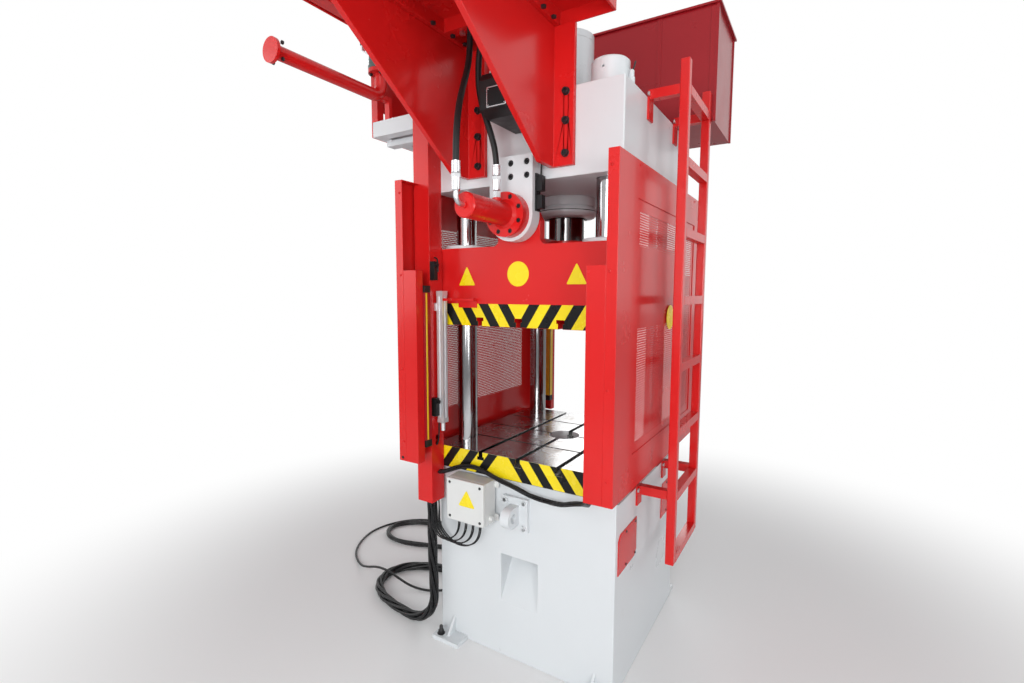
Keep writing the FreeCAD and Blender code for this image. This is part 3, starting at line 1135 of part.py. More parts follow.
SLACK_ROUTE = on_floor([
    (GLAND_LENGTH, -172, 46), (90, -176, 42), (170, -204, 20), (265, -250, CABLE_LEVEL), (365, -278, 16), (450, -288, 42),
    (535, -294, 70), (622, -296, 70), (708, -292, 40), (795, -266, 12), (880, -224, CABLE_LEVEL), (955, -168, CABLE_LEVEL),
    (1015, -92, CABLE_LEVEL), (1060, -4, CABLE_LEVEL), (1086, 92, CABLE_LEVEL), (1080, 190, CABLE_LEVEL), (1046, 284, CABLE_LEVEL),
    (985, 372, CABLE_LEVEL), (895, 438, CABLE_LEVEL), (785, 468, CABLE_LEVEL), (660, 472, CABLE_LEVEL), (530, 462, CABLE_LEVEL),
    (400, 444, CABLE_LEVEL), (270, 422, 12), (150, 406, 30), (GLAND_LENGTH, 402, 38)])
LOOP_ROUTE = on_floor([
    (GLAND_LENGTH, 250, 56), (90, 248, 52), (180, 240, 32), (280, 224, LOOP_LEVEL), (385, 202, LOOP_LEVEL), (490, 176, LOOP_LEVEL),
    (590, 144, LOOP_LEVEL), (690, 106, LOOP_LEVEL), (785, 80, LOOP_LEVEL), (870, 80, LOOP_LEVEL), (940, 108, LOOP_LEVEL),
    (992, 160, LOOP_LEVEL), (1004, 230, LOOP_LEVEL), (970, 300, LOOP_LEVEL), (900, 356, LOOP_LEVEL), (805, 396, LOOP_LEVEL),
    (695, 412, LOOP_LEVEL), (580, 410, LOOP_LEVEL), (465, 398, LOOP_LEVEL), (350, 378, LOOP_LEVEL), (240, 356, LOOP_LEVEL),
    (125, 338, 34), (GLAND_LENGTH, 332, 42)])
SENSOR_ROUTE = [(BRACKET_WIDTH / 2 + dx, BRACKET_FRONT + dy, LOCK_HEIGHT + 153.0 + rise * (PUMP_FLOOR - LOCK_HEIGHT - 153.0) / 188.0)
                for dx, dy, rise in [(18, 38, 0), (19.5, 37.5, 44), (23, 36.5, 94), (25.3, 37, 142), (25.3, 37, 188)]]


def make_cable_glands():
    """The glands on the base's left side where the floor cables enter."""
    glands = []
    for route, end, diameter in [(BUNDLE_ROUTE, -1, BUNDLE_DIAMETER), (SLACK_ROUTE, 0, CABLE_DIAMETER), (SLACK_ROUTE, -1, CABLE_DIAMETER),
                                 (LOOP_ROUTE, 0, LOOP_BUNDLE_DIAMETER), (LOOP_ROUTE, -1, LOOP_BUNDLE_DIAMETER)]:
        _, y, z = route[end]
        glands.append(rod_x(y, z, BASE_LEFT - GLAND_LENGTH, BASE_LEFT, diameter / 2 + 7.0))
    return glands


def main():
    save("base_frame", make_base())
    save("base_feet", make_base_feet())
    save("table_plate", make_table())
    for name, sx, sy in CORNERS:
        save("column_" + name, make_column(sx, sy))
    save("column_nuts", Part.makeCompound([make_column_cap(sx, sy) for _, sx, sy in CORNERS]))
    save("guide_bushes", Part.makeCompound([make_bush(sx, sy) for _, sx, sy in CORNERS]))
    save("slide", make_slide())
    save("ram_rod", make_ram())
    save("ram_piston", make_piston())
    save("crown", make_crown())
    save("cylinder_barrel", make_barrel())
    save("cylinder_gland", make_gland())
    save("cylinder_head", make_cylinder_head())
    save("lock_bracket", make_lock_bracket())
    save("lock_cylinder", make_lock_cylinder())
    save("lock_end_cap", make_lock_end_cap())
    save("crown_front_screws", Part.makeCompound(make_lock_screws() + make_gusset_bolts()))
    save("lock_pin", make_lock_pin())
    save("lock_socket", make_lock_socket())
    save("gusset_left", make_gusset(GUSSET_LEFT))
    save("gusset_right", make_gusset(GUSSET_RIGHT))
    save("front_deck", make_deck())
    save("grease_pump", make_grease_pump())
    save("grease_reservoir", make_reservoir())
    save("duct_post", make_duct_post())
    save("transducer", make_transducer())
    save("limit_switches", Part.makeCompound(make_limit_switches() + [make_lock_sensor()]))
    save("magnet_arm", make_magnet_arm())
    for name, side in (("left", -1), ("right", 1)):
        save("guard_frame_" + name, make_guard_frame(side))
        save("guard_mesh_" + name, make_guard_mesh(side))
    save("curtain_covers", Part.makeCompound([make_curtain_covers(-1), make_curtain_covers(1)]))
    save("light_curtain_bars", Part.makeCompound([make_light_curtain(-1), make_light_curtain(1)]))
    save("ladder_stringer_front", make_stringer(-1))
    save("ladder_stringer_rear", make_stringer(1))
    save("ladder_rungs", make_rungs())
    arms = [make_ladder_arms(ARM_LOW, BASE_WIDTH / 2, TABLE_UNDERSIDE - 99.0, TABLE_UNDERSIDE - 9.0),
            make_ladder_arms(ARM_HIGH, CROWN_WIDTH / 2, CROWN_TOP - 90.0, CROWN_TOP)]
    save("ladder_arms", Part.makeCompound(arms))
    save("oil_tank", make_tank())
    save("oil_tank_lid", make_tank_lid())
    save("left_platform", make_platform())
    save("valve_bay", make_bay())
    save("return_pipe", make_return_pipe())
    save("ball_valve", make_valve())
    save("valve_lever", make_valve_lever())
    save("lever_grip", make_lever_grip())
    save("junction_box", make_junction_box())
    save("junction_box_lid", make_junction_lid())
    save("lifting_lug", make_lifting_lug())
    covers = [make_side_cover(y0, y1, TABLE_UNDERSIDE - low, TABLE_UNDERSIDE - high) for y0, y1, low, high in SIDE_COVERS]
    save("side_covers", Part.makeCompound(covers))
    save("hose_fittings", Part.makeCompound([make_hose_fitting_cap(), make_hose_fitting_port()] + make_cable_glands()))
    hoses = [tube("lock_hose_cap", HOSE_CAP_ROUTE, HOSE_DIAMETER), tube("lock_hose_port", HOSE_PORT_ROUTE, HOSE_DIAMETER)]
    save("lock_hoses", Part.makeCompound(hoses))
    save("front_cable_run", tube("front_cable_run", FRONT_RUN_ROUTE, HOSE_DIAMETER))
    loops = [tube("junction_loop", junction_loop(index), CABLE_DIAMETER) for index in range(len(JBOX_GLANDS))]
    save("junction_cables", Part.makeCompound(loops))
    save("hanging_bundle", tube("hanging_bundle", BUNDLE_ROUTE, BUNDLE_DIAMETER))
    floor_cables = [tube("slack_cable", SLACK_ROUTE, CABLE_DIAMETER), tube("loop_bundle", LOOP_ROUTE, LOOP_BUNDLE_DIAMETER)]
    save("slack_cable", Part.makeCompound(floor_cables))
    save("sensor_cable", tube("sensor_cable", SENSOR_ROUTE, SENSOR_CABLE_DIAMETER))


main()
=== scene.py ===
"""Looks of an upright four-column hydraulic press: materials, plates, stripes, screws and cords."""
import math
import bmesh
import bpy
from mathutils import Matrix, Vector


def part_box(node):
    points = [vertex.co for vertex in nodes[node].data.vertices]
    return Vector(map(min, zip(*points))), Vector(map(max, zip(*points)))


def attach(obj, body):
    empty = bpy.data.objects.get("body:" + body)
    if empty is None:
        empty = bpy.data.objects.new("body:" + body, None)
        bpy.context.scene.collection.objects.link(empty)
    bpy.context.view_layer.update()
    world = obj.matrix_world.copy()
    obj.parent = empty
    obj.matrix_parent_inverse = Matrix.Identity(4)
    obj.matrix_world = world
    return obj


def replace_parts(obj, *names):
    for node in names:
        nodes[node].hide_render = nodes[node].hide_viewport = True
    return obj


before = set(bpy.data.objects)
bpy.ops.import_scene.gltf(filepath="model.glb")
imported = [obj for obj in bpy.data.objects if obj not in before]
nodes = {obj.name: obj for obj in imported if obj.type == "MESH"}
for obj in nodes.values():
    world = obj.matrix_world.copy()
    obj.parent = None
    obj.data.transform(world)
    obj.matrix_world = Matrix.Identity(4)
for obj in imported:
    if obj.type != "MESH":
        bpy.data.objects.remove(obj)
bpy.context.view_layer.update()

scene = bpy.context.scene
TAU = 2 * math.pi
RIGHT, FRONT, BACK, UP, DOWN = (1, 0, 0), (0, -1, 0), (0, 1, 0), (0, 0, 1), (0, 0, -1)


def mm(*values):
    """A point given in millimetres, in metres."""
    return tuple(v / 1000 for v in values)


def add_object(name, data):
    thing = bpy.data.objects.new(name, data)
    scene.collection.objects.link(thing)
    return thing


# ---------------------------------------------------------------- camera
CAMERA_PLACE = (1.12861, -2.34341, 1.69055)
CAMERA_TURN, CAMERA_DIP, CAMERA_ROLL = 31.6958, 5.4635, 0.134
SENSOR_WIDTH, FOCAL_LENGTH = 36.0, 17.998


def aim_camera():
    """The camera stands front right of the press at eye height, and looks slightly down."""
    turn, dip, roll = (math.radians(angle) for angle in (CAMERA_TURN, CAMERA_DIP, CAMERA_ROLL))
    ahead = Vector((-math.sin(turn) * math.cos(dip), math.cos(turn) * math.cos(dip), -math.sin(dip)))
    right = Vector((math.cos(turn), math.sin(turn), 0))
    up = right.cross(ahead)
    across = right * math.cos(roll) + up * math.sin(roll)
    upward = up * math.cos(roll) - right * math.sin(roll)
    camera = bpy.data.cameras.new("camera")
    camera.sensor_width, camera.lens = SENSOR_WIDTH, FOCAL_LENGTH
    camera.clip_start, camera.clip_end = 0.05, 100
    holder = add_object("camera", camera)
    turned = Matrix((across, upward, -ahead)).transposed()
    holder.matrix_world = Matrix.Translation(CAMERA_PLACE) @ turned.to_4x4()
    scene.camera = holder


aim_camera()


# ---------------------------------------------------------------- materials
class Tree:
    """A node tree with short ways to add and join nodes."""

    def __init__(self, tree):
        self.tree = tree

    def add(self, kind, inputs=None, **settings):
        node = self.tree.nodes.new("ShaderNode" + kind)
        for key, value in settings.items():
            setattr(node, key, value)
        for key, value in (inputs or {}).items():
            node.inputs[key].default_value = value
        return node

    def join(self, *pairs):
        for output, socket in pairs:
            self.tree.links.new(output, socket)


def empty_tree(owner):
    owner.use_nodes = True
    owner.node_tree.nodes.clear()
    return Tree(owner.node_tree)


def add_marks(tree, here, colour, gloss, mark, share, scale, dulling):
    """Patches in the colour of the mark, and duller, where a fine noise is high."""
    spots = tree.add("TexNoise", {"Scale": scale, "Detail": 8.0, "Roughness": 0.7})
    edge = tree.add("MapRange", {"From Min": share, "From Max": share + 0.12, "To Max": mark[3]})
    worn = tree.add("MixRGB", {"Color2": list(mark[:3]) + [1]})
    dull = tree.add("Math", {1: dulling}, operation="MULTIPLY_ADD")
    amount = edge.outputs["Result"]
    tree.join((here, spots.inputs["Vector"]), (spots.outputs["Fac"], edge.inputs["Value"]),
              (colour, worn.inputs["Color1"]), (amount, worn.inputs["Fac"]),
              (amount, dull.inputs[0]), (gloss, dull.inputs[2]))
    return worn.outputs["Color"], dull.outputs["Value"]


def surface(name, colour, spread, rough, cloud, metallic=0.0, coat=0.0, specular=0.5, aniso=0.0, through=0.0,
            ior=1.5, grain=220.0, stretch=(1, 1, 1), depth=0.0, strength=0.25, mark=None, mark_share=0.62,
            mark_scale=14.0, mark_rough=0.1):
    """A finish with uneven colour and gloss, fine grain in relief, and scattered marks of wear or dust.

    spread and rough say how far colour and gloss vary, cloud and grain are noise scales, stretch turns the
    grain into brushing, depth and strength are the relief's, and mark is a colour and how far it covers.
    """
    material = bpy.data.materials.new(name)
    tree = empty_tree(material)
    out, shader = tree.add("OutputMaterial"), tree.add("BsdfPrincipled")
    here = tree.add("TexCoord").outputs["Object"]
    broad = tree.add("TexNoise", {"Scale": cloud, "Detail": 5.0, "Roughness": 0.6})
    tint = tree.add("MixRGB", {"Color1": [c * (1 - spread) for c in colour] + [1],
                               "Color2": [min(1.0, c * (1 + spread)) for c in colour] + [1]})
    gloss = tree.add("MapRange", {"From Min": 0.3, "From Max": 0.7, "To Min": rough[0], "To Max": rough[1]})
    tree.join((shader.outputs["BSDF"], out.inputs["Surface"]), (here, broad.inputs["Vector"]),
              (broad.outputs["Fac"], tint.inputs["Fac"]), (broad.outputs["Fac"], gloss.inputs["Value"]))
    colour_out, gloss_out = tint.outputs["Color"], gloss.outputs["Result"]
    if mark is not None:
        colour_out, gloss_out = add_marks(tree, here, colour_out, gloss_out, mark, mark_share, mark_scale,
                                          mark_rough)
    tree.join((colour_out, shader.inputs["Base Color"]), (gloss_out, shader.inputs["Roughness"]))
    if depth:
        sizes = tree.add("Mapping", {"Scale": stretch})
        fine = tree.add("TexNoise", {"Scale": grain, "Detail": 3.0})
        relief = tree.add("Bump", {"Strength": strength, "Distance": depth})
        tree.join((here, sizes.inputs["Vector"]), (sizes.outputs["Vector"], fine.inputs["Vector"]),
                  (fine.outputs["Fac"], relief.inputs["Height"]),
                  (relief.outputs["Normal"], shader.inputs["Normal"]))
    for key, value in (("Metallic", metallic), ("Coat Weight", coat), ("Coat Roughness", 0.06),
                       ("Specular IOR Level", specular), ("Anisotropic", aniso),
                       ("Transmission Weight", through), ("IOR", ior)):
        shader.inputs[key].default_value = value
    return material


RED = surface(
    "red_paint", (0.62, 0.012, 0.012), 0.07, (0.20, 0.30), 2.2, coat=0.10, specular=0.32, grain=140,
    depth=0.0006, strength=0.10, mark=(0.42, 0.03, 0.03, 0.35), mark_share=0.66, mark_scale=9.0)
DARK_RED = surface(
    "dark_red_paint", (0.31, 0.007, 0.013), 0.08, (0.24, 0.36), 2.0, coat=0.08, specular=0.3, grain=120,
    depth=0.0006, strength=0.12, mark=(0.28, 0.02, 0.02, 0.4), mark_share=0.64, mark_scale=7.0)
WHITE = surface(
    "white_paint", (0.66, 0.69, 0.71), 0.03, (0.26, 0.38), 2.5, coat=0.1, specular=0.4, grain=150,
    depth=0.0006, strength=0.10, mark=(0.60, 0.60, 0.59, 0.30), mark_share=0.66, mark_scale=8.0)
GROUND = surface(
    "ground_steel", (0.36, 0.36, 0.36), 0.22, (0.14, 0.30), 3.5, metallic=1.0, aniso=0.4, grain=60,
    stretch=(0.6, 22, 1), depth=0.0004, strength=0.16, mark=(0.20, 0.16, 0.13, 0.6), mark_share=0.56,
    mark_scale=7.0, mark_rough=0.22)
BORED = surface(
    "bored_steel", (0.74, 0.75, 0.76), 0.05, (0.34, 0.44), 9.0, metallic=0.55, grain=70,
    stretch=(1, 1, 24), depth=0.0005, strength=0.3)
CHROME = surface(
    "chrome", (0.40, 0.40, 0.41), 0.10, (0.07, 0.14), 5.0, metallic=1.0, grain=50, stretch=(1, 1, 30),
    depth=0.0002, strength=0.14, mark=(0.24, 0.23, 0.21, 0.4), mark_share=0.60, mark_scale=16.0)
ROD = surface(
    "ram_chrome", (0.16, 0.155, 0.155), 0.06, (0.08, 0.15), 5.0, metallic=1.0, grain=50,
    stretch=(1, 1, 30), depth=0.0002, strength=0.12)
BLACK_STEEL = surface(
    "black_steel", (0.016, 0.016, 0.018), 0.2, (0.26, 0.38), 30.0, specular=0.4, grain=500, depth=0.0002,
    strength=0.3, mark=(0.12, 0.12, 0.12, 0.5), mark_share=0.6, mark_scale=60.0)
ZINC = surface(
    "zinc_steel", (0.66, 0.67, 0.69), 0.1, (0.22, 0.36), 22.0, metallic=1.0, grain=300, depth=0.0002,
    mark=(0.40, 0.40, 0.42, 0.4), mark_share=0.6, mark_scale=40.0)
ALUMINIUM = surface(
    "aluminium", (0.70, 0.71, 0.73), 0.05, (0.38, 0.50), 8.0, metallic=0.6, grain=90,
    stretch=(12, 12, 0.5), depth=0.0003, strength=0.2)
BLACK_PLASTIC = surface(
    "black_plastic", (0.012, 0.012, 0.013), 0.15, (0.30, 0.46), 20.0, specular=0.3, grain=420,
    depth=0.0003, strength=0.3, mark=(0.05, 0.05, 0.05, 0.4), mark_scale=26.0)
RUBBER = surface(
    "hose_rubber", (0.014, 0.014, 0.015), 0.2, (0.36, 0.52), 26.0, specular=0.3, grain=600, depth=0.0004,
    strength=0.5, mark=(0.08, 0.08, 0.08, 0.35), mark_scale=30.0)
CABLE = surface(
    "cable_jacket", (0.010, 0.010, 0.011), 0.2, (0.22, 0.36), 18.0, specular=0.32, grain=500,
    depth=0.0002, strength=0.3, mark=(0.09, 0.09, 0.085, 0.4), mark_scale=22.0)
AMBER = surface(
    "amber_plastic", (0.50, 0.27, 0.07), 0.14, (0.10, 0.18), 12.0, coat=0.4, through=0.12, ior=1.46,
    grain=60, stretch=(1, 1, 6), depth=0.0003, strength=0.15)
GREY_PLASTIC = surface(
    "grey_plastic", (0.66, 0.67, 0.66), 0.03, (0.36, 0.48), 9.0, grain=380, depth=0.0003,
    mark=(0.50, 0.50, 0.49, 0.3), mark_share=0.66, mark_scale=12.0)
YELLOW = surface(
    "yellow_paint", (0.86, 0.58, 0.015), 0.05, (0.26, 0.36), 12.0, coat=0.2, grain=240, depth=0.0002,
    strength=0.15, mark=(0.60, 0.40, 0.03, 0.4), mark_share=0.66, mark_scale=24.0)
FOIL_YELLOW = surface(
    "foil_yellow", (0.86, 0.68, 0.008), 0.04, (0.22, 0.32), 12.0, grain=200, depth=0.0001, strength=0.12,
    mark=(0.62, 0.45, 0.05, 0.35), mark_share=0.68, mark_scale=26.0)
FOIL_BLACK = surface(
    "foil_black", (0.008, 0.008, 0.009), 0.2, (0.24, 0.36), 12.0, specular=0.22, grain=200, depth=0.0001,
    strength=0.12, mark=(0.06, 0.06, 0.06, 0.4), mark_share=0.66, mark_scale=26.0)
GREEN_IRON = surface(
    "dark_green_iron", (0.055, 0.085, 0.080), 0.15, (0.38, 0.52), 18.0, grain=260, depth=0.0008,
    strength=0.5)

# Finish of each solid that stays in view, and the width of its broken edges in millimetres.
LOOKS = {
    RED: {"slide": 3.0, "lock_cylinder": 3.0, "lock_end_cap": 1.5, "gusset_left": 2.5, "gusset_right": 2.5,
          "front_deck": 3.0, "duct_post": 4.0, "magnet_arm": 1.0, "guard_frame_left": 1.5,
          "guard_frame_right": 1.5, "curtain_covers": 1.6, "ladder_stringer_front": 4.0,
          "ladder_stringer_rear": 4.0, "ladder_rungs": 3.0, "ladder_arms": 1.5, "valve_bay": 2.0,
          "return_pipe": 1.5, "side_covers": 1.2},
    DARK_RED: {"oil_tank": 3.0, "oil_tank_lid": 1.5},
    WHITE: {"base_frame": 4.0, "base_feet": 2.0, "column_nuts": 4.0, "guide_bushes": 3.0, "crown": 4.0,
            "cylinder_barrel": 2.5, "cylinder_gland": 3.0, "cylinder_head": 2.5, "lock_bracket": 3.5,
            "left_platform": 3.0, "lifting_lug": 3.0},
    GROUND: {"lock_pin": 0, "lock_socket": 0, "ram_piston": 0},
    CHROME: {"column_front_left": 0, "column_front_right": 0, "column_rear_left": 0, "column_rear_right": 0},
    ROD: {"ram_rod": 0},
    ZINC: {"hose_fittings": 0.8, "valve_lever": 1.0},
    ALUMINIUM: {"transducer": 1.2},
    BLACK_PLASTIC: {"grease_pump": 2.0, "limit_switches": 1.5, "lever_grip": 0},
    AMBER: {"grease_reservoir": 0},
    GREY_PLASTIC: {"junction_box": 3.0, "junction_box_lid": 4.0},
    GREEN_IRON: {"ball_valve": 2.0},
}
SHARP_FROM = math.radians(40)


def weld(thing):
    thing.modifiers.new("weld", "WELD").merge_threshold = 0.00001


def break_edges(thing, width):
    """Bevels every edge sharper than SHARP_FROM."""
    bevel = thing.modifiers.new("bevel", "BEVEL")
    bevel.width, bevel.segments = width / 1000, 2
    bevel.limit_method, bevel.angle_limit = "ANGLE", SHARP_FROM
    bevel.use_clamp_overlap = True
    return bevel


def even_shading(thing):
    thing.modifiers.new("shade", "WEIGHTED_NORMAL").keep_sharp = True


def dress(thing, material, edge):
    """Gives a solid its finish and breaks its sharp edges."""
    thing.data.materials.clear()
    thing.data.materials.append(material)
    if edge:
        weld(thing)
        break_edges(thing, edge).miter_outer = "MITER_ARC"
        even_shading(thing)


for look, edges in LOOKS.items():
    for solid, edge_width in edges.items():
        dress(nodes[solid], look, edge_width)


# ---------------------------------------------------------------- cords
def route_curve(name, points):
    """One smooth curve along a cord's run; the points are in millimetres."""
    curve = bpy.data.curves.new(name, "CURVE")
    curve.dimensions = "3D"
    line = curve.splines.new("NURBS")
    line.points.add(len(points) - 1)
    for spot, point in zip(line.points, points):
        spot.co = (*mm(*point), 1)
    line.order_u = 3
    line.use_endpoint_u = True
    line.resolution_u = 12
    return add_object(name, curve)


def centre_points(points):
    """The points that a cord's curve runs through, in metres."""
    thing = route_curve("route", points)
    mesh = bpy.data.meshes.new_from_object(thing)
    line = [v.co.copy() for v in mesh.vertices]
    curve = thing.data
    bpy.data.objects.remove(thing)
    bpy.data.curves.remove(curve)
    bpy.data.meshes.remove(mesh)
    return line


def declare_cord(thing, points, diameter, held, slot, **facts):
    """Attaches a cord to the frame, and hides the solids it stands for."""
    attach(thing, "frame")
    if held:
        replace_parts(thing, held)


def cord(name, points, diameter, held, material, slot, stiffness, lay):
    """A single cable or hose."""
    thing = route_curve(name, points)
    curve = thing.data
    curve.bevel_depth, curve.bevel_resolution, curve.use_fill_caps = diameter / 2000, 6, True
    curve.materials.append(material)
    line = centre_points(points)
    length = sum((b - a).length for a, b in zip(line, line[1:]))
    declare_cord(thing, points, diameter, held, slot, length=length, stiffness=stiffness, lay=lay)


HOSE_CAP = [
    (0, -890, 2091), (-1, -888, 2185), (-16, -862, 2285), (-42, -812, 2375), (-70, -752, 2455),
    (-94, -694, 2535), (-105, -660, 2622), (-106, -658, 2712)]
HOSE_PORT = [
    (0, -632, 2129.5), (-1, -632, 2215.5), (-22, -636, 2300.5), (-56, -640, 2390.5), (-78, -644, 2485.5),
    (-76, -645, 2579.5), (-66, -644, 2650), (-64, -644, 2712)]
FRONT_RUN = [
    (-412, -508, 840), (-372, -504, 850), (-322, -496, 872), (-262, -490, 890), (-200, -488, 890),
    (-130, -488, 874), (-62, -488, 852), (10, -488, 836), (80, -488, 820), (150, -488, 811),
    (218, -488, 812), (284, -492, 832), (342, -522, 852), (386, -572, 880), (404, -598, 936),
    (405, -601, 990)]
JUNCTION = [
    [(-430, -545, 710), (-427, -543, 650), (-430, -541, 577.6), (-390.2, -531, 528), (-334.8, -517, 528),
     (-295, -505, 577.6), (-295, -504.5, 635)],
    [(-430, -527, 710), (-427, -525, 650), (-430, -524.8, 574.3), (-378.4, -519.3, 520),
     (-306.6, -511.6, 520), (-255, -505, 574.3), (-255, -504.5, 635)],
    [(-430, -509, 710), (-427, -507, 650), (-430, -508.6, 571), (-366.6, -507.6, 512),
     (-278.4, -506.2, 512), (-215, -505, 571), (-215, -504.5, 635)],
    [(-430, -491, 710), (-427, -489, 650), (-430, -492.4, 567.7), (-354.8, -495.9, 504),
     (-250.2, -500.8, 504), (-175, -505, 567.7), (-175, -504.5, 635)]]
BUNDLE = [
    (-466, -500, 710), (-465, -499, 600), (-468, -497, 490), (-469, -494, 390), (-467, -491, 285),
    (-466, -488, 167), (-493, -486, 102), (-542, -483, 53), (-607, -480, 25), (-690, -475, 25),
    (-780, -462, 25), (-868, -440, 25), (-945, -402, 25), (-1002, -345, 25), (-1027, -268, 25),
    (-1012, -190, 25), (-962, -124, 25), (-890, -78, 25), (-800, -48, 25), (-700, -28, 28),
    (-610, -16, 44), (-530, -10, 66), (-466, -9, 74)]
SLACK = [
    (-466, -172, 46), (-540, -176, 42), (-620, -204, 20), (-715, -250, 7.5), (-815, -278, 16),
    (-900, -288, 42), (-985, -294, 70), (-1072, -296, 70), (-1158, -292, 40), (-1245, -266, 12),
    (-1330, -224, 7.5), (-1405, -168, 7.5), (-1465, -92, 7.5), (-1510, -4, 7.5), (-1536, 92, 7.5),
    (-1530, 190, 7.5), (-1496, 284, 7.5), (-1435, 372, 7.5), (-1345, 438, 7.5), (-1235, 468, 7.5),
    (-1110, 472, 7.5), (-980, 462, 7.5), (-850, 444, 7.5), (-720, 422, 12), (-600, 406, 30),
    (-466, 402, 38)]
LOOP = [
    (-466, 250, 56), (-540, 248, 52), (-630, 240, 32), (-730, 224, 17), (-835, 202, 17),
    (-940, 176, 17), (-1040, 144, 17), (-1140, 106, 17), (-1235, 80, 17), (-1320, 80, 17),
    (-1390, 108, 17), (-1442, 160, 17), (-1454, 230, 17), (-1420, 300, 17), (-1350, 356, 17),
    (-1255, 396, 17), (-1145, 412, 17), (-1030, 410, 17), (-915, 398, 17), (-800, 378, 17),
    (-690, 356, 17), (-575, 338, 34), (-466, 332, 42)]
SENSOR = [
    (120.5, -492, 2156), (122, -492.5, 2200), (125.5, -493.5, 2250), (127.8, -493, 2298),
    (127.8, -493, 2344)]
STRAND_SIDES = 8


def bundle(name, points, diameter, count, radius, ring, turns, held, stiffness="medium"):
    """Cables side by side, wound slowly about the run's centre line, which is read from its own curve.

    They lie on a ring; a bundle of five or more has one cable in its middle.
    """
    line = centre_points(points)
    along = [0.0]
    for a, b in zip(line, line[1:]):
        along.append(along[-1] + (b - a).length)
    total = along[-1]
    steep = abs((line[1] - line[0]).normalized().z) >= 0.9
    up = Vector((1, 0.2, 0)) if steep else Vector((0.2, 0.1, 1))
    frames = []
    for i, point in enumerate(line):
        ahead = (line[min(i + 1, len(line) - 1)] - line[max(i - 1, 0)]).normalized()
        side = ahead.cross(up).normalized()
        up = side.cross(ahead).normalized()
        frames.append((point, side, up))
    spokes = [TAU * j / STRAND_SIDES for j in range(STRAND_SIDES)]
    cored = count > 4
    mesh = bmesh.new()
    for k in range(count):
        rows = []
        for (point, side, over), s in zip(frames, along):
            share = k / (count - 1 if cored else count)
            angle = TAU * (share + turns * s / total) + 0.25 * math.sin(9 * s + k)
            out = 0.0 if cored and k == 0 else (ring + 0.4 * math.sin(5 * s + 2 * k)) / 1000
            heart = point + side * (out * math.cos(angle)) + over * (out * math.sin(angle))
            rows.append([mesh.verts.new(heart + (side * math.cos(t) + over * math.sin(t)) * (radius / 1000))
                         for t in spokes])
        for a, b in zip(rows, rows[1:]):
            for j in range(STRAND_SIDES):
                n = (j + 1) % STRAND_SIDES
                mesh.faces.new((a[j], a[n], b[n], b[j])).smooth = True
        for row in (rows[0], rows[-1]):
            mesh.faces.new(row)
    bmesh.ops.recalc_face_normals(mesh, faces=mesh.faces)
    data = bpy.data.meshes.new(name)
    mesh.to_mesh(data)
    mesh.free()
    data.materials.append(CABLE)
    declare_cord(add_object(name, data), points, diameter, held, "black_plastic", length=total,
                 stiffness=stiffness, lay="loose", path=[tuple(p) for p in line])


cord("lock_hose_cap", HOSE_CAP, 24, "lock_hoses", RUBBER, "hose_rubber", "stiff", "hanging")
cord("lock_hose_port", HOSE_PORT, 24, None, RUBBER, "hose_rubber", "stiff", "hanging")
bundle("front_cable_run_1", FRONT_RUN, 24, 3, 5.7, 6.1, 1.6, "front_cable_run", "limp")
for number, route in enumerate(JUNCTION, 1):
    bundle("junction_cable_%d" % number, route, 13, 2, 3.1, 3.3, 0.7, "junction_cables")
cord("sensor_cable_1", SENSOR, 8, "sensor_cable", CABLE, "black_plastic", "medium", "loose")
cord("slack_cable_1", SLACK, 13, "slack_cable", CABLE, "black_plastic", "medium", "loose")
bundle("hanging_bundle_1", BUNDLE, 48, 7, 8.0, 15.6, 2.2, "hanging_bundle")
bundle("floor_loop", LOOP, 32, 4, 7.4, 8.4, 2.0, None)


